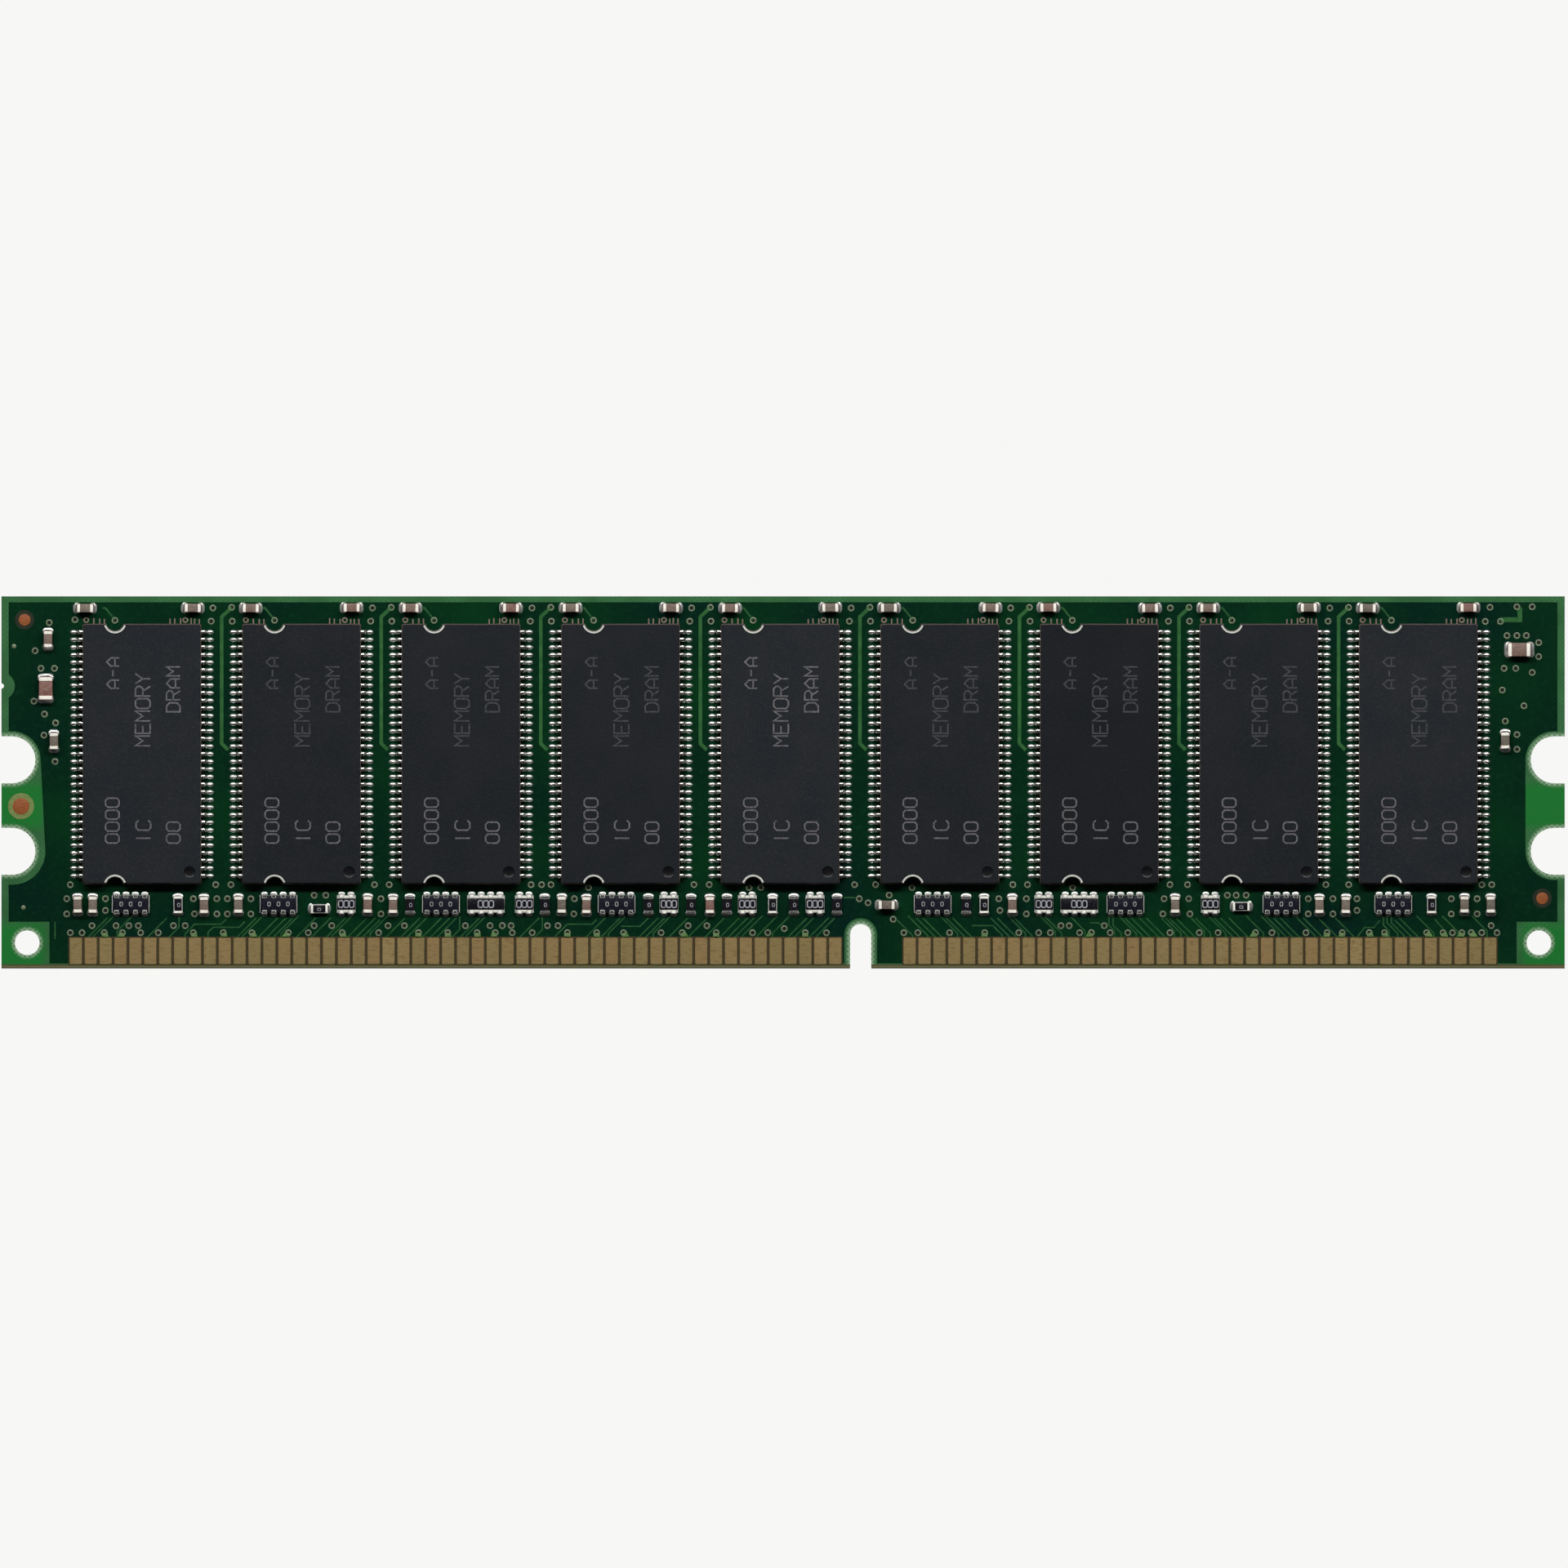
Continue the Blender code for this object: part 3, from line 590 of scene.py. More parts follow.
copperLook = {
    "thickness": 0.02,
    "topInset": 0.50,
    "endInset": 0.62,
    "edgeStart": 0.45,
    "notchHalos": ((0.45, 0.45), (0.85, 0.45)),   # lower and upper notch, at the right and the left end
    "nickHalo": 1.15,
    "keyHalo": 0.50,
    "cornerWidth": 4.1,
    "cornerHeight": 4.0,
}
notch = {"heights": (10.0, 17.8), "radius": 2.0, "depth": 2.9}
nickHeight = 24.1
toolingHole = {"inset": 2.2, "height": 2.2, "radius": 1.05}
keySlot = {"x": 6.62, "width": 1.8, "height": 3.8}
halfLength = boardLength / mm / 2


def copperOutline():
    # round the board from the lower right, keeping off its edges, notches and key slot
    look = copperLook
    end = halfLength - look["endInset"]
    notchX = halfLength - notch["depth"] + notch["radius"]
    lower, upper = notch["heights"]
    top = boardHeight / mm - look["topInset"]
    corner = halfLength - look["cornerWidth"]
    sides = []
    for halos in look["notchHalos"]:
        line = [(corner, look["edgeStart"]), (corner, look["cornerHeight"]), (end, look["cornerHeight"])]
        for place, halo in zip((lower, upper), halos):
            reach = notch["radius"] + halo
            swing = math.degrees(math.acos((end - notchX) / reach))
            line += arc((notchX, place), reach, *((360 - swing, 180) if place == lower else (180, swing)), 14)
        sides.append(line + [(end, top)])
    right = sides[0]
    left = [(-x, y) for x, y in reversed(sides[1])]
    nickSwing = math.degrees(math.acos(look["endInset"] / look["nickHalo"]))
    left[1:1] = arc((-halfLength, nickHeight), look["nickHalo"], nickSwing, -nickSwing, 12)
    slotReach = keySlot["width"] / 2 + look["keyHalo"]
    slotTop = keySlot["height"] - keySlot["width"] / 2
    slot = [(keySlot["x"] - slotReach, look["edgeStart"])]
    slot += arc((keySlot["x"], slotTop), slotReach, 180, 0, 16)
    slot += [(keySlot["x"] + slotReach, look["edgeStart"])]
    return right + left + slot


def sideOutline(points, flip):
    # the same outline seen from the other side of the board
    return points if flip > 0 else [(-x, y) for x, y in reversed(points)]


def makeCopperAreas():
    thickness = copperLook["thickness"]
    base, top = contact["low"], contact["high"] + 0.10
    rows = []
    for places in contactPlaces():
        low, high = min(places) - contact["pitch"] / 2, max(places) + contact["pitch"] / 2
        rows.append([(low, base), (high, base), (high, top), (low, top)])
    for name, side, flip in (("Front", frontSide, 1), ("Back", backSide, -1)):
        bm = bmesh.new()
        outline = sideOutline(copperOutline(), flip)
        addLoft(bm, [outline, outline], [0.0, thickness])
        addPiece("copperArea" + name, bm, ["maskedCopper"], "solder_mask", side)
        # the open strip behind the contacts: bare laminate with painted shade for the gaps between them
        bm = bmesh.new()
        for row in rows:
            outline = sideOutline(row, flip)
            addLoft(bm, [outline, outline], [0.0, thickness + 0.004])
        addPiece("contactOpening" + name, bm, ["opening"], "solder_mask", side)
    paintNode(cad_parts["circuit_board"], "board")
    print("copper areas: 2")


def paintNode(obj, look):
    obj.data.materials.clear()
    obj.data.materials.append(finishes[look])


contact = {
    "pitch": 1.27,
    "gap": 0.23,
    "low": 0.36,
    "high": 2.62,
    "corner": 0.10,
    "thickness": 0.055,
    "leftStart": keySlot["x"] - 2.175,
    "rightStart": keySlot["x"] + 4.175,
    "leftCount": 52,
    "rightCount": 40,
}


def contactPlaces():
    left = [contact["leftStart"] - i * contact["pitch"] for i in range(contact["leftCount"])]
    right = [contact["rightStart"] + i * contact["pitch"] for i in range(contact["rightCount"])]
    return left, right


fingers = [x for row in contactPlaces() for x in row]


def makeContacts():
    width = contact["pitch"] - contact["gap"]
    height = contact["high"] - contact["low"]
    centreY = (contact["high"] + contact["low"]) / 2
    edge = 0.015
    for sideName, side, flip in (("front", frontSide, 1), ("back", backSide, -1)):
        for rowName, places in zip(("left", "right"), contactPlaces()):
            bm = bmesh.new()
            for x in places:
                outlines = []
                for inset in (0, 0, edge):
                    flat = roundedBox(width - 2 * inset, height - 2 * inset, contact["corner"], 2)
                    outlines.append([(flip * x + u, centreY + v) for u, v in flat])
                addLoft(bm, outlines, [0.0, contact["thickness"] - edge, contact["thickness"]])
            name = f"contactFingers_{sideName}_{rowName}"
            mesh = closeMesh(bm, name)
            addPiece(name, mesh, ["gold"], "contact_gold", side, replaces=[f"contacts_{sideName}_{rowName}"])
    print("contacts:", 2 * (contact["leftCount"] + contact["rightCount"]))


package = {
    "width": 10.16,
    "length": 22.22,
    "bottom": 0.10,
    "top": 1.10,
    "draft": 0.09,
    "edge": 0.05,
    "corner": 0.18,
    "notchX": -2.3,
    "notchRadius": 0.72,
    "notchDrop": 0.14,       # the notch's centre lies this far outside the body
    "rimWidth": 0.15,
    "dimple": (4.07, 1.04, 0.50, 0.10),   # x, up from the lower end, radius, depth
    "leads": 33,
    "leadPitch": 0.65,
    "leadWidth": 0.30,
    "leadThickness": 0.13,
    "leadReach": 0.80,
    "footHeight": 0.10,
    "bend": 0.13,
    "shoulder": 0.20,
    "leadSlope": 24,         # degrees off vertical
    "damBar": (0.07, 0.24, 1.22),   # where the lead is wider, from the moulding's side, and how much
}
packageBatches = (   # package numbers from the left, moulding compound, look of the upper marks
    ((1, 5), "paleEpoxy", "laserMark"),
    ((9,), "paleEpoxy", "faintMark"),
    ((7,), "darkEpoxy", "faintMark"),
    ((2, 3, 4, 6, 8), "epoxy", "faintMark"),
)
packageMarks = (   # text, x of its baseline and y of its start from the middle, height, advance, look
    ("0000", -1.95, -7.6, 1.15, 1.02, 0),
    ("A-A", -1.95, 5.6, 1.05, 0.95, 1),
    ("IC", 0.75, -7.6, 1.25, 1.10, 0),
    ("MEMORY", 0.70, 0.7, 1.25, 1.06, 1),
    ("00", 3.25, -7.6, 1.15, 1.02, 0),
    ("DRAM", 3.25, 3.6, 1.15, 1.02, 1),
)


def packageOutline(size, inset):
    width = size["width"] - 2 * inset
    length = size["length"] - 2 * inset
    radius = size["notchRadius"] + inset
    centreY = size["length"] / 2 + size["notchDrop"]
    swing = math.degrees(math.asin(min((size["notchDrop"] + inset) / max(radius, 0.01), 1.0)))
    points = []
    for x, y, start in ((1, 1, 0), (-1, 1, 90), (-1, -1, 180), (1, -1, 270)):
        corner = (x * (width / 2 - size["corner"]), y * (length / 2 - size["corner"]))
        points += arc(corner, size["corner"], start, start + 90, 3)
        if size["notchRadius"] and start == 0:
            points += arc((size["notchX"], centreY), radius, -swing, swing - 180, 12)
        if size["notchRadius"] and start == 180:
            points += arc((size["notchX"], -centreY), radius, 180 - swing, swing, 12)
    return points


def makePackageBody(size, name):
    bm = bmesh.new()
    parting = (size["bottom"] + size["top"]) / 2
    draft, edge = size["draft"], size["edge"]
    insets = (draft, 0.0, draft, draft + edge)
    heights = (size["bottom"], parting, size["top"] - edge, size["top"])
    addLoft(bm, [packageOutline(size, inset) for inset in insets], heights)
    body = bpy.data.objects.new(name, closeMesh(bm, name))
    scene.collection.objects.link(body)
    x, up, radius, depth = size["dimple"]
    bm = bmesh.new()
    bmesh.ops.create_uvsphere(bm, u_segments=24, v_segments=12, radius=radius * mm)
    for vert in bm.verts:
        vert.co.z *= depth / radius
    cutter = bpy.data.objects.new(name + "Dimple", closeMesh(bm, name + "Dimple"))
    cutter.location = Vector((x, up - size["length"] / 2, size["top"])) * mm
    scene.collection.objects.link(cutter)
    hollow = body.modifiers.new("dimple", "BOOLEAN")
    hollow.operation = "DIFFERENCE"
    hollow.solver = "EXACT"
    hollow.object = cutter
    bpy.context.view_layer.update()
    made = body.evaluated_get(bpy.context.evaluated_depsgraph_get())
    mesh = bpy.data.meshes.new_from_object(made)
    for helper in (body, cutter):
        bpy.data.objects.remove(helper, do_unlink=True)
    mesh.materials.clear()
    mesh.set_sharp_from_angle(angle=math.radians(30))
    # the hollow is polished in the mould, the rest is matt
    centre = Vector((x, up - size["length"] / 2)) * mm
    for face in mesh.polygons:
        inside = (face.center.xy - centre).length < radius * mm and face.center.z > (size["top"] - depth) * mm
        if inside and face.center.z < (size["top"] - 0.0005) * mm:
            face.material_index = 1
    return mesh


def leadPath(size):
    # centre line of one gull-wing lead, from inside the moulding to its toe
    half = size["width"] / 2
    bend = size["bend"]
    steep = math.radians(size["leadSlope"])
    parting = (size["bottom"] + size["top"]) / 2
    foot = size["footHeight"]
    kneeX = half + size["shoulder"]
    drop = parting - foot - 2 * bend * (1 - math.sin(steep))
    ankleX = kneeX + 2 * bend * math.cos(steep) + drop * math.tan(steep)
    points = [(half - 0.05, parting), (half + 0.05, parting), (half + 0.09, parting)]
    points += arc((kneeX, parting - bend), bend, 90, size["leadSlope"], 5)
    points += arc((ankleX, foot + bend), bend, 180 + size["leadSlope"], 270, 5)
    points.append((half + size["leadReach"], foot))
    return points


def addLead(bm, path, side, y, width, thickness):
    # the stamped strip is crowned: its outer face is a little round across
    half, back = width / 2, thickness / 2
    crown = ((half, back * 0.1), (half * 0.78, back * 0.65), (half * 0.34, back))
    profile = [(-half, -back), (half, -back), *crown, *((-u, v) for u, v in reversed(crown))]
    line = [Vector(point) for point in path]
    loops = []
    for i, here in enumerate(line):
        along = (line[min(i + 1, len(line) - 1)] - line[max(i - 1, 0)]).normalized()
        spots = [(side * (here.x - along.y * v), y + u, here.y + along.x * v) for u, v in profile]
        loops.append(addLoop(bm, spots))
    joinLoops(bm, loops)
    capLoops(bm, loops)


def leadPlaces(size):
    rows = [(lead - (size["leads"] - 1) / 2) * size["leadPitch"] for lead in range(size["leads"])]
    return [(side, y) for side in (-1, 1) for y in rows]


def makeLeads(size, name):
    bm = bmesh.new()
    path = leadPath(size)
    for side, y in leadPlaces(size):
        addLead(bm, path, side, y, size["leadWidth"], size["leadThickness"])
    near, far, wider = size["damBar"]
    pitch, last = size["leadPitch"] * mm, (size["leads"] - 1) / 2
    for vert in bm.verts:
        if near < abs(vert.co.x) / mm - size["width"] / 2 < far:
            centre = (round(vert.co.y / pitch - last) + last) * pitch
            vert.co.y = centre + (vert.co.y - centre) * wider
    return closeMesh(bm, name, 50)


footSolder = {
    "lift": (0.10, 0.03),     # lowest height and how much it varies
    "toe": (0.34, 0.22),      # half length and half width of the mound at the toe and at the heel
    "heel": (0.24, 0.20),
}


def makeFeetSolder(size, name):
    bm = bmesh.new()
    toe = size["width"] / 2 + size["leadReach"]
    low, spread = footSolder["lift"]
    for side, y in leadPlaces(size):
        lift = low + spread * dice.random()
        addDome(bm, (side * (toe - 0.06), y), footSolder["toe"], lift + 0.08, 0.5, 4, 12)
        addDome(bm, (side * (toe - 0.42), y), footSolder["heel"], lift * 0.9, 1.2, 3, 8)
    return closeMesh(bm, name, 60)


def makePackageMarks(name):
    bm = bmesh.new()
    top = package["top"]
    for text, x, y, height, advance, look in packageMarks:
        addText(bm, text, (x, y), height, advance, 0.13, top - 0.002, top + 0.003, upward=True, mat=look)
    return closeMesh(bm, name)


# a thin pale ribbon round each notch: a painted highlight for the lit notch wall
def makeNotchRims(size, name):
    bm = bmesh.new()
    radius = size["notchRadius"] + size["draft"] + size["rimWidth"] / 2
    swing = math.degrees(math.asin((size["notchDrop"] + size["draft"] + size["edge"]) / radius))
    for end in (-1, 1):
        line = arc((size["notchX"], end * (size["length"] / 2 + size["notchDrop"])), radius,
                   -end * swing, -end * (180 - swing), 18)
        addRibbon(bm, line, size["rimWidth"], size["top"] - 0.02, size["top"] + 0.006)
    return closeMesh(bm, name)


def makePackages():
    meshes = {
        "Body": makePackageBody(package, "memoryBody"),
        "Leads": makeLeads(package, "memoryLeads"),
        "Solder": makeFeetSolder(package, "memorySolder"),
        "Marks": makePackageMarks("memoryMarks"),
        "NotchRims": makeNotchRims(package, "memoryNotchRims"),
    }
    hides = {"Body": "dram_body", "Leads": "dram_leadframe"}
    for numbers, compound, upperMark in packageBatches:
        parts = {   # the looks of each part and a slot name
            "Body": ([compound, "polishedEpoxy"], "moulded_epoxy"),
            "Leads": (["lead"], "tinned_lead"),
            "Solder": (["solder"], "tinned_lead"),
            "Marks": (["laserMark", upperMark], "moulded_epoxy"),
            "NotchRims": (["notchRim"], "moulded_epoxy"),
        }
        copies = {part: mesh.copy() for part, mesh in meshes.items()}
        for number in numbers:
            x, y = middle(f"dram_body_{number}")
            for part, (looks, slotName) in parts.items():
                hidden = [f"{hides[part]}_{number}"] if part in hides else []
                addPiece(f"memory{part}_{number}", copies[part], looks, slotName, at=(x, y, 0),
                         replaces=hidden)
            paintNode(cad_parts[f"dram_die_{number}"], "silicon")
    print("memory packages:", sum(len(numbers) for numbers, compound, upperMark in packageBatches))


capacitor = {
    "small": (1.46, 0.78, 0.80),     # length, width, height
    "large": (2.00, 1.22, 0.85),
    "terminal": (0.36, 0.42),        # length on the small and the large one
    "lip": 0.03,
    "round": 0.06,
    "fillet": 0.28,
    "padCorner": 0.30,
    "standoff": 0.03,
}
resistor = {
    "length": 1.50,
    "width": 0.80,
    "height": 0.45,
    "terminal": 0.26,
    "fillet": 0.27,
    "border": 0.09,
}
network = {
    "pitch": 0.80,
    "width": 1.50,
    "height": 0.45,
    "terminal": 0.46,
    "reach": 0.12,
    "band": 0.28,
    "fillet": 0.24,
    "border": 0.06,
}
topCapacitors = {"offsets": (-4.30, 4.30), "firstOffset": -4.84, "height": 30.77}
bottomHeight = 5.44
bottomCapacitors = (-60.21, -58.92, -49.38, -46.45, -35.45, -33.29, -18.87, -16.74, -6.26, 19.59, 33.45,
                    45.78, 48.01, 58.11, 60.34)
keyCapacitor = (8.86, 5.4)
resistorPlaces = (
    (-51.61, "bordered"), (-31.82, "plain"), (-20.33, "plain"), (-11.48, "plain"), (-7.86, "plain"),
    (-4.79, "plain"), (-0.89, "bordered"), (0.92, "plain"), (4.61, "plain"), (15.62, "plain"),
    (17.15, "bordered"), (55.32, "bordered"))
sidewaysResistors = ((-39.56, 5.1), (39.09, 5.3))


def addFillet(bm, tip, width, reach, rise, turned, mat, base=0.03):
    # solder climbing a terminal's end, hollow towards the board; turned is the way it faces in degrees
    spin = Matrix.Rotation(math.radians(turned), 2)
    steps = 7
    loops = []
    for step in range(steps + 1):
        share = 1 - step / steps
        out = reach * share ** 2.2
        side = width / 2 + 0.10 * share ** 2
        centre = max(out - side * 0.55, 0.0)
        nose = [(centre + x * (out - centre), y * side) for x, y in arc((0, 0), 1.0, -90, 90, 8)]
        outline = [(-0.06, -side), *nose, (-0.06, side)]
        loops.append([tuple(Vector(tip) + spin @ Vector(point)) for point in outline])
    heights = [base + rise * (step / steps) ** 2.1 for step in range(steps + 1)]
    addLoft(bm, [loops[0]] + loops, [0.0] + heights, mat)


def addTerminal(bm, end, size, terminal, bevel, segments, reach, climb):
    # the metal cap of a chip part and the solder at its foot; climb is the share of the height it reaches
    length, width, height = size
    centre = (end * (length - terminal) / 2, 0, capacitor["standoff"] + height / 2)
    addBlock(bm, (terminal, width, height), centre, bevel, 1, segments)
    tip = (end * (length / 2 - 0.03), 0)
    addFillet(bm, tip, width * 0.9, reach, height * climb, 0 if end > 0 else 180, 2)


def capacitorMesh(size, name):
    length, width, height = capacitor[size]
    terminal = capacitor["terminal"][0 if size == "small" else 1]
    lip, low = capacitor["lip"], capacitor["standoff"]
    bm = bmesh.new()
    addBlock(bm, (length - terminal, width - 2 * lip, height - 2 * lip), (0, 0, low + height / 2), 0.05)
    for end in (-1, 1):
        addTerminal(bm, end, capacitor[size], terminal, capacitor["round"], 4, capacitor["fillet"], 0.55)
        pad = roundedBox(terminal + capacitor["fillet"], width + 0.14, capacitor["padCorner"])
        shift = end * (length / 2 + capacitor["fillet"] / 2 - terminal / 2)
        outline = [(shift + x, y) for x, y in pad]
        addLoft(bm, [outline, outline], [0.0, 0.034], 2)
    return closeMesh(bm, name, 50)


def resistorMesh(kind, name):
    size = resistor
    length, width, height, terminal = (size[key] for key in ("length", "width", "height", "terminal"))
    low = capacitor["standoff"]
    bm = bmesh.new()
    addBlock(bm, (length - 0.06, width - 0.03, height - 0.05), (0, 0, low + height / 2), 0.02, 0)
    for end in (-1, 1):
        addTerminal(bm, end, (length, width, height), terminal, 0.05, 3, size["fillet"], 0.7)
    border = size["border"] if kind == "bordered" else 0.01
    glaze = roundedBox(length - 2 * terminal + 0.06, width - 2 * border, 0.05)
    inner = roundedBox(length - 2 * terminal, width - 2 * border - 0.06, 0.04)
    top = low + height
    addLoft(bm, [glaze, glaze, inner], [top - 0.08, top + 0.005, top + 0.02], 3)
    addText(bm, "0", (0.13, -0.16), 0.30, 0.3, 0.05, top + 0.01, top + 0.024, upward=True, mat=4)
    return closeMesh(bm, name, 50)


def networkKind(node):
    low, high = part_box(node)
    elements = round((high[0] - low[0]) / mm / network["pitch"])
    number = int(node.rsplit("_", 1)[1])
    return elements, ("banded" if elements == 2 or number in (4, 7) else "blue")


def networkMesh(elements, kind, name):
    size = network
    low = capacitor["standoff"]
    pitch, width, height = size["pitch"], size["width"], size["height"]
    length = elements * pitch
    top = low + height
    bm = bmesh.new()
    addBlock(bm, (length, width, height - 0.04), (0, 0, low + height / 2 - 0.02), 0.02, 0)
    if kind == "blue":
        glaze = (length - 2 * size["border"], width - 0.02)
    else:
        glaze = (length - 0.04, width - 2 * size["band"] + 0.04)
    outer = roundedBox(glaze[0], glaze[1], 0.05)
    inner = roundedBox(glaze[0] - 0.06, glaze[1] - 0.06, 0.04)
    addLoft(bm, [outer, outer, inner], [top - 0.10, top - 0.03, top - 0.015], 3)
    for index in range(elements):
        x = (index - (elements - 1) / 2) * pitch
        for side in (-1, 1):
            terminalSize = (size["terminal"], size["band"] + size["reach"], height)
            centre = (x, side * (width / 2 + size["reach"] / 2 - size["band"] / 2), low + height / 2)
            addBlock(bm, terminalSize, centre, 0.08, 1, 3)
            tip = (x, side * (width / 2 + size["reach"] - 0.04))
            addFillet(bm, tip, size["terminal"] * 0.85, size["fillet"], height * 0.7, 90 * side, 2)
        if kind == "banded" and index:
            bridge = (pitch - size["terminal"] + 0.1, size["band"] * 0.6, 0.05)
            out = width / 2 - size["band"] * 0.55
            for side in (-1, 1):
                addBlock(bm, bridge, (x - pitch / 2, side * out, top - 0.03), 0.02, 1)
    letterHeight = 0.34 if kind == "blue" else 0.58
    step = 0.80 if kind == "blue" else 0.46
    start = -step - letterHeight / 3
    stroke = 0.06 if kind == "blue" else 0.09
    addText(bm, "000", (start, -letterHeight / 2), letterHeight, step, stroke, top - 0.02, top - 0.005, mat=4)
    return closeMesh(bm, name, 50)


capacitorLooks = ["capacitor", "terminal", "solder"]
resistorLooks = ["solder", "glaze", "valueMark"]
networkLooks = ["alumina", "flatTerminal", "solder", "blueGlaze", "valueMark"]


def makeCapacitors():
    small, large = capacitorMesh("small", "smallCapacitor"), capacitorMesh("large", "largeCapacitor")
    slotName = "capacitor_ceramic"
    for node in [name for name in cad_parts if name.startswith("edge_capacitor")]:
        (lowX, _, lowZ), (highX, _, highZ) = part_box(node)
        mesh = large if max(highX - lowX, highZ - lowZ) > 1.8 * mm else small
        turn = 90 if highZ - lowZ > highX - lowX else 0
        number = node.rsplit("_", 1)[1]
        addPiece(f"endCapacitor_{number}", mesh, capacitorLooks, slotName, at=(*middle(node), 0), turn=turn,
                 replaces=[node])
    places = []
    for index, x in enumerate(packageX):
        for offset in topCapacitors["offsets"]:
            if index == 0 and offset < 0:
                offset = topCapacitors["firstOffset"]
            places.append((x + offset, topCapacitors["height"], 0))
    places += [(x, bottomHeight, 90) for x in bottomCapacitors]
    places.append((*keyCapacitor, 0))
    for number, (x, y, turn) in enumerate(places, 1):
        wobble = dice.uniform(-1.2, 1.2)
        shift = (x + dice.uniform(-0.04, 0.04), y + dice.uniform(-0.03, 0.03), 0)
        addPiece(f"smallCapacitor_{number}", small, capacitorLooks, slotName, at=shift, turn=turn + wobble)
    print("capacitors:", len(places) + 5)


def makeResistors():
    meshes = {kind: resistorMesh(kind, kind + "Resistor") for kind in ("plain", "bordered")}
    places = [(x, bottomHeight, 90, kind) for x, kind in resistorPlaces]
    places += [(x, y, 0, "bordered") for x, y in sidewaysResistors]
    for number, (x, y, turn, kind) in enumerate(places, 1):
        looks = ["alumina", "terminal" if kind == "bordered" else "flatTerminal", *resistorLooks]
        addPiece(f"resistor_{number}", meshes[kind], looks, "resistor_ceramic", at=(x, y, 0),
                 turn=turn + dice.uniform(-1, 1))
    meshes = {}
    for node in [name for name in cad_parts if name.startswith("resistor_network")]:
        elements, kind = networkKind(node)
        if (elements, kind) not in meshes:
            meshes[elements, kind] = networkMesh(elements, kind, f"{kind}Network_{elements}")
        looks = list(networkLooks)
        if kind == "banded":
            looks[1], looks[3] = "terminal", "glaze"
        number = node.rsplit("_", 1)[1]
        addPiece(f"resistorNetwork_{number}", meshes[elements, kind], looks, "resistor_ceramic",
                 at=(*middle(node), 0), replaces=[node])
    print("resistors and networks:", len(places) + 17)


smallPackage = {
    **package,
    "width": 4.4,
    "length": 3.0,
    "corner": 0.12,
    "notchRadius": 0.0,
    "dimple": (1.45, 0.75, 0.35, 0.07),
    "leads": 4,
    "leadWidth": 0.25,
    "leadReach": 1.0,
}
backParts = (   # on the back face, from the small package: x, y, kind
    (-4.4, 0.2, "capacitor"), (4.3, 0.6, "plain"), (5.6, 0.6, "plain"), (6.9, 0.6, "bordered"))


def makeBackParts():
    x, y = middle("spd_body")
    spot = (-x, y, 0)
    body = makePackageBody(smallPackage, "smallMemoryBody")
    addPiece("smallMemoryBody", body, ["epoxy", "polishedEpoxy"], "moulded_epoxy", backSide, spot,
             replaces=["spd_body"])
    leads = makeLeads(smallPackage, "smallMemoryLeads")
    addPiece("smallMemoryLeads", leads, ["lead"], "tinned_lead", backSide, spot, replaces=["spd_leadframe"])
    solder = makeFeetSolder(smallPackage, "smallMemorySolder")
    addPiece("smallMemorySolder", solder, ["solder"], "tinned_lead", backSide, spot)
    paintNode(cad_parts["spd_die"], "silicon")
    for number, (u, v, kind) in enumerate(backParts, 1):
        isCapacitor = kind == "capacitor"
        mesh = bpy.data.meshes["smallCapacitor" if isCapacitor else kind + "Resistor"]
        slotName = "capacitor_ceramic" if isCapacitor else "resistor_ceramic"
        addPiece(f"backPart_{number}", mesh, [], slotName, backSide, (u - x, y + v, 0), 90)
    print("back parts:", 1 + len(backParts))


viaLook = {"outer": 0.29, "inner": 0.16, "height": 0.018, "base": 0.018}
packageX = sorted(middle(name)[0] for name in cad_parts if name.startswith("dram_body"))
gapX = [(left + right) / 2 for left, right in zip(packageX, packageX[1:])]
viaRows = (   # height, then places along the board
    (7.15, (-60.8, -48.4, -47.1, -34.85, -33.6, -21.5, -20.6, -19.8, -7.6, -6.3, 6.1, 7.9, 19.6, 20.85,
            33.0, 34.5, 46.3, 48.25, 59.6, 60.45)),
    (6.90, (-2.9, -1.9, -16.6, 11.0, 24.7)),
    (6.25, (-40.0, -39.0, 37.9, 38.65, 39.5, 9.05)),
    (5.95, (-61.1, -57.8, -50.3, -48.3, -47.4, -45.4, -34.3, -17.8, 6.5, 18.4, 20.75, 32.5, 34.6, 44.8,
            46.9, 48.95, 57.0, 59.2)),
    (5.60, (7.25,)),
    (4.65, (-61.1, -50.2, -48.3, -47.4, -45.4, -34.3, -17.85, 20.75, 32.4, 34.7, 44.8, 46.9, 57.0, 59.2)),
    (4.95, (-57.8, 18.5, 48.95)),
    (4.20, (9.4,)),
    (3.65, (-58.95, -56.9, -55.8, -55.0, -52.0, -51.0, -40.0, -38.5, -33.7, -32.3, -27.1, -25.0, -23.95,
            -23.2, -20.1, -19.2, -8.1, -6.5, 23.7, 24.4, 27.4, 60.4)),
    (3.40, (0.1,)),
    (3.05, (-60.8, -59.8, -57.9, -56.35, -54.8, -53.3, -50.3, -47.75, -45.3, -42.2, -40.5, -37.6, -34.5,
            -31.1, -28.6, -26.1, -24.55, -23.1, -21.4, -18.4, -15.9, -13.6, -10.4, -8.6, -5.7, -2.6, -1.3,
            1.9, 3.7, 10.3, 11.5, 14.2, 17.2, 20.1, 21.8, 22.8, 25.3, 26.3, 27.9, 29.4, 33.0, 35.5, 37.1,
            40.3, 41.7, 44.6, 46.4, 47.7, 50.0, 51.3, 54.9, 56.3, 57.1, 57.9, 58.7, 59.6, 60.9)),
)
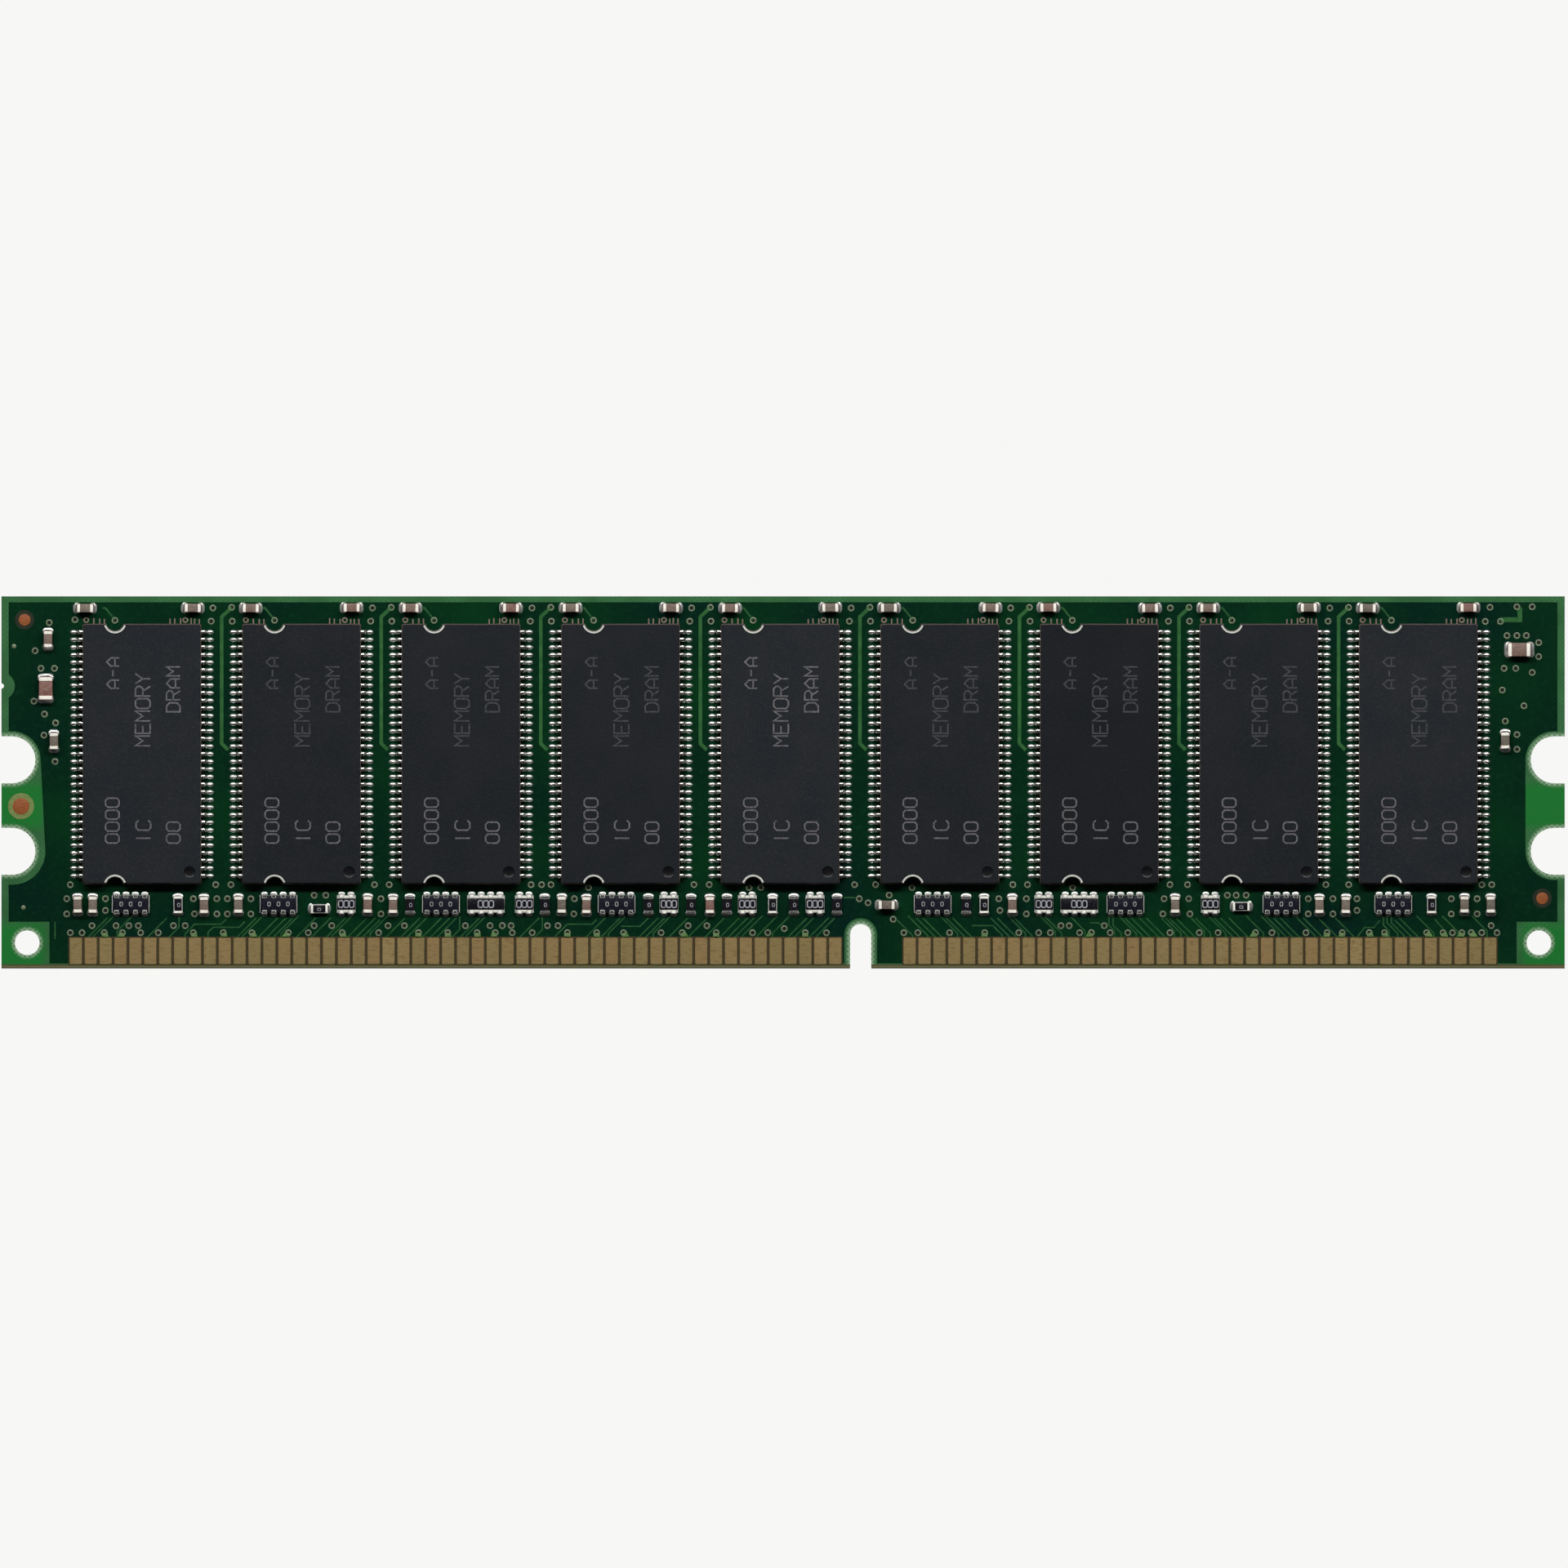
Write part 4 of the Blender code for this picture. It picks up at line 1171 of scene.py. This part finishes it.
endVias = (
    (-62.6, 29.5), (-63.8, 27.1), (-63.3, 25.6), (-62.15, 25.6), (-63.9, 22.8), (-63.0, 21.7),
    (-62.05, 20.95), (-63.05, 19.9), (-62.1, 17.65), (-60.4, 29.75), (61.75, 28.4), (62.6, 28.4),
    (63.4, 28.4), (64.45, 27.8), (64.45, 26.6), (61.5, 25.6), (62.5, 25.6), (63.9, 25.25),
    (61.35, 23.75), (63.2, 22.4), (61.6, 21.1), (62.6, 19.95), (62.6, 18.7), (60.3, 30.8),
    (59.9, 29.6), (61.2, 29.6), (62.6, 30.85), (63.9, 30.85),
)
fiducials = ((-64.7, 29.75, 0.50, 0.82, "ringLaminate"), (-65.0, 13.85, 0.72, 1.12, "paleRing"),
             (64.75, 6.0, 0.50, 0.82, "ringLaminate"))
testDots = ((-65.6, 27.5), (-64.8, 5.2))


def viaPlaces():
    places = [(x, height) for height, row in viaRows for x in row]
    places += endVias
    for x in gapX:
        places += [(x - 0.75, 30.75), (x - 0.90, 29.62), (x + 0.85, 30.80), (x + 0.90, 29.62)]
    places += [(x + package["notchX"], 29.70) for x in packageX]
    return places


def makeVias():
    look = viaLook
    for name, side, flip in (("Front", frontSide, 1), ("Back", backSide, -1)):
        bm = bmesh.new()
        for x, y in viaPlaces():
            addRing(bm, (flip * x, y), look["outer"], look["inner"], look["height"], 14, 0, look["base"])
            # a dark disc inside each ring: painted shade for the hole
            hole = arc((flip * x, y), look["inner"] + 0.02, 0, 330, 11)
            addLoft(bm, [hole, hole], [look["base"], look["base"] + 0.004], 1)
        addPiece("vias" + name, bm, ["viaRing", "viaHoleShade"], "tinned_lead", side)
    print("vias:", len(viaPlaces()))


def farFrom(points, places, reach):
    for start, stop in zip(points, points[1:]):
        start, stop = Vector(start), Vector(stop)
        run = stop - start
        for place in places:
            along = max(0.0, min(1.0, (Vector(place) - start).dot(run) / max(run.length_squared, 1e-9)))
            if (start + run * along - Vector(place)).length < reach:
                return False
    return True


def dotsAlong(points, step):
    dots = []
    for start, stop in zip(points, points[1:]):
        start, stop = Vector(start), Vector(stop)
        count = max(1, round((stop - start).length / step))
        dots += [tuple(start.lerp(stop, number / count)) for number in range(count + 1)]
    return dots


fan = {
    "clearVia": 0.36,       # from a line's middle to a via's middle
    "clearLine": 0.23,
    "leaves": (-0.28, 0.28),
    "starts": (2.62, 2.80, 3.00, 3.20),
    "shifts": (1.7, 1.5, 1.3, 1.1, 0.9, 0.7, 0.5),
    "top": 4.45,
    "root": 2.5,            # under the contact's end
    "heights": (4.0, 4.6),  # lines that end below the first are led up to top, above the second left out
    "clearKey": 2.2,
    "turnsLeft": 5,         # contacts right of this lean to the left, the others to the right
}


def fanLines(x, lean):
    # the widest first
    lowest, highest = fan["heights"]
    for shift in fan["shifts"]:
        for start in fan["starts"]:
            line = [(x, fan["root"]), (x, start), (x + lean * shift, start + shift)]
            if line[-1][1] < lowest:
                line.append((x + lean * shift, fan["top"]))
            if line[-1][1] <= highest and abs(line[-1][0] - keySlot["x"]) >= fan["clearKey"]:
                yield line


def fanOut():
    # thin lines climb from the contacts at 45 degrees, as long as the vias and the other lines let them
    taken = [dot for line in longTraces for dot in dotsAlong(line, 0.1)]
    lines = []
    for finger in sorted(fingers):
        vias = [via for via in viaPlaces() if via[1] < 5 and abs(via[0] - finger) < 3]
        for leave in fan["leaves"]:
            busy = [dot for dot in taken if abs(dot[0] - finger) < 3]
            for line in fanLines(finger + leave, 1 if finger < fan["turnsLeft"] else -1):
                if farFrom(line, vias, fan["clearVia"]) and farFrom(line, busy, fan["clearLine"]):
                    lines.append(line)
                    taken += dotsAlong(line, 0.1)
                    break
    return lines


longTraces = (
    ((-51.0, 2.6), (-51.0, 2.95), (-50.2, 3.78), (-47.95, 3.78), (-47.5, 4.2)),
    ((-49.05, 2.6), (-49.05, 3.1), (-48.6, 3.52), (-46.4, 3.52), (-45.9, 4.0)),
    ((-19.4, 2.6), (-19.4, 2.8), (-18.4, 3.78), (-16.3, 3.78), (-15.9, 4.2)),
    ((-13.8, 3.6), (-12.2, 3.6), (-11.5, 4.3)),
    ((16.1, 3.66), (17.9, 3.66), (18.7, 2.85), (18.7, 2.6)),
    ((6.2, 6.05), (5.2, 6.05)),
    ((-62.1, 2.5), (-62.1, 4.0)),
    ((26.2, 3.9), (26.9, 3.9), (27.4, 3.4)),
    ((48.9, 2.6), (49.6, 3.5), (50.4, 3.5), (50.9, 4.1)),
    ((55.6, 4.2), (56.3, 3.4)),
)


stubs = {   # short ends above each package, from its middle
    "places": (-4.1, -3.6, -3.2, 2.4, 2.8, 3.3, 4.2, 4.5, 4.9),
    "rings": (3.7, -4.75),
}
traceLook = {
    "base": 0.015,            # mm above the laminate, inside the copper areas
    "top": 0.028,
    "thin": 0.11,
    "rail": 0.30,             # between two packages
    "notchLine": 0.16,
    "tie": 0.52,
    "tieReach": 0.36,         # how far a via may be from its contact's middle
    "corner": 0.40,
    "back": 0.16,
    "backDrop": 0.14,
}


def addTrace(bm, line, width, mat=0, top=traceLook["top"]):
    addRibbon(bm, line, width, traceLook["base"], top, mat)


def makeTraces():
    look = traceLook
    bm = bmesh.new()
    for line in [*fanOut(), *longTraces]:
        addTrace(bm, line, look["thin"])
    for x in gapX:
        addTrace(bm, [(x + 0.85, 30.8), (x, 30.0), (x, 19.2), (x + 0.55, 18.65)], look["rail"], 1, 0.032)
    for x in packageX:
        # from the right-hand end of the first capacitor to the via in the notch
        notchLine = [(x - 3.35, 30.75), (x - 3.1, 30.75), (x + package["notchX"], 29.75)]
        addTrace(bm, notchLine, look["notchLine"])
        for step in stubs["places"]:
            stub = [(x + step, 29.30), (x + step, 29.90 - 0.1 * dice.random())]
            addTrace(bm, stub, look["thin"], 3, 0.034)
        for step in stubs["rings"]:
            addRing(bm, (x + step, 29.72), 0.26, 0.13, 0.018, 12, 3, 0.018)
    # wide ties from the supply contacts to their vias
    for x, y in sorted(via for via in viaPlaces() if abs(via[1] - 3.05) < 0.1):
        finger = min(fingers, key=lambda place: abs(place - x))
        if abs(finger - x) < look["tieReach"]:
            addTrace(bm, [(x, y), (x + (finger - x) * 0.6, 2.78), (finger, 2.5)], look["tie"], 2, 0.024)
    addTrace(bm, [(62.85, 30.8), (62.85, 29.75), (61.2, 29.75)], look["corner"], 1, 0.024)
    addPiece("tracesFront", bm, ["maskedTrace", "thickTrace", "floodedPad", "stub"], "solder_mask")
    print("front traces made")


backBus = {
    "lines": 12,
    "heights": (12.4, 26.8),
    "ends": 61.0,
    "jogs": (-40.0, -14.0, 16.0, 43.0),
    "jogSize": 0.8,
    "drops": 64,
}


def makeBackTraces():
    # the side without memory packages carries the long address lines
    bm = bmesh.new()
    low, high = backBus["heights"]
    ends = []
    for number in range(backBus["lines"]):
        y = low + (high - low) * number / (backBus["lines"] - 1)
        start = -backBus["ends"] + dice.uniform(0, 9)
        stop = backBus["ends"] - dice.uniform(0, 9)
        points = [(start, y)]
        for index, jog in enumerate(backBus["jogs"]):
            step = backBus["jogSize"] * (1 if index % 2 else -1)
            x = jog + number * 0.35
            points += [(x, points[-1][1]), (x + abs(step), points[-1][1] + step)]
        points.append((stop, points[-1][1]))
        addTrace(bm, points, traceLook["back"])
        ends += [points[0], points[-1]]
    for x in sorted(-x for x, y in viaPlaces() if y < 3.5):
        finger = -min(fingers, key=lambda place: abs(-place - x))
        addTrace(bm, [(x, 3.05), (x + (finger - x) * 0.5, 2.75), (finger, 2.5)], traceLook["back"])
    for number in range(backBus["drops"]):
        x = (number - (backBus["drops"] - 1) / 2) * 1.9 + dice.uniform(-0.4, 0.4)
        if abs(x + keySlot["x"]) < 3.0 or abs(x + middle("spd_body")[0]) < 4.5:
            continue
        bend = dice.uniform(4.4, 8.0)
        shift = dice.choice((-1, 1)) * dice.uniform(0.4, 1.3)
        finish = dice.choice((10.6, 11.4))
        line = [(x, 2.9), (x, bend), (x + shift, bend + abs(shift)), (x + shift, finish)]
        mirrored = [(-u, v) for u, v in line]
        if farFrom(mirrored[1:], viaPlaces(), 0.42):
            addTrace(bm, line, traceLook["backDrop"])
            ends.append(line[-1])
    for end in ends:
        addRing(bm, end, viaLook["outer"], viaLook["inner"], viaLook["height"], 14, 1, viaLook["base"])
    addPiece("tracesBack", bm, ["maskedTrace", "viaRing"], "solder_mask", backSide)
    print("back traces made, line ends:", len(ends))


def addFiducial(name, spot, look, side):
    x, y, pad, ring = spot
    bm = bmesh.new()
    circles = [arc((x, y), radius, 0, 345, 23) for radius in (ring, ring, pad, pad, pad - 0.03)]
    addLoft(bm, circles[:2], [0.0, 0.030], 1)
    addLoft(bm, circles[2:], [0.0, 0.042, 0.050])
    addPiece(name, bm, ["copper", look], "solder_mask", side)


def makeFiducials():
    for number, (*spot, look) in enumerate(fiducials, 1):
        addFiducial(f"fiducial_{number}", spot, look, frontSide)
    bm = bmesh.new()
    for place in testDots:
        addDome(bm, place, (0.22, 0.22), 0.06, 0.6, 4, 16)
    addPiece("testDots", closeMesh(bm, "testDots", 60), ["viaRing"], "tinned_lead")
    for number, (*spot, look) in enumerate((fiducials[0], fiducials[2]), 1):
        addFiducial(f"backFiducial_{number}", spot, look, backSide)
    print("fiducials:", len(fiducials) + 2)


def makeFloor():
    bm = bmesh.new()
    bmesh.ops.create_grid(bm, x_segments=2, y_segments=2, size=studio["floorSize"])
    floor = bpy.data.objects.new("paleFloor", closeMesh(bm, "paleFloor"))
    floor.location.z = -0.00005
    finish, tree, shader = newFinish("paleFloor", 0.8)
    shader.inputs["Base Color"].default_value = (*studio["floorColour"], 1.0)
    shader.inputs["Emission Color"].default_value = (*studio["backdrop"], 1.0)
    shader.inputs["Emission Strength"].default_value = studio["floorGlow"]
    floor.data.materials.append(finish)
    floor.visible_diffuse = False     # no light thrown back up, so the shadows on the board stay deep
    floor.visible_glossy = False
    scene.collection.objects.link(floor)
    floor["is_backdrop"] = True


makeCamera()
makeStudio()
finishes = makeFinishes()
makeCopperAreas()
makeContacts()
makePackages()
makeVias()
makeTraces()
makeBackTraces()
makeFiducials()
makeCapacitors()
makeResistors()
makeBackParts()
makeFloor()

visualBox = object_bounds()
boxes = {name: [list(corner) for corner in box] for name, box in (("cad", cadBox), ("visual", visualBox))}
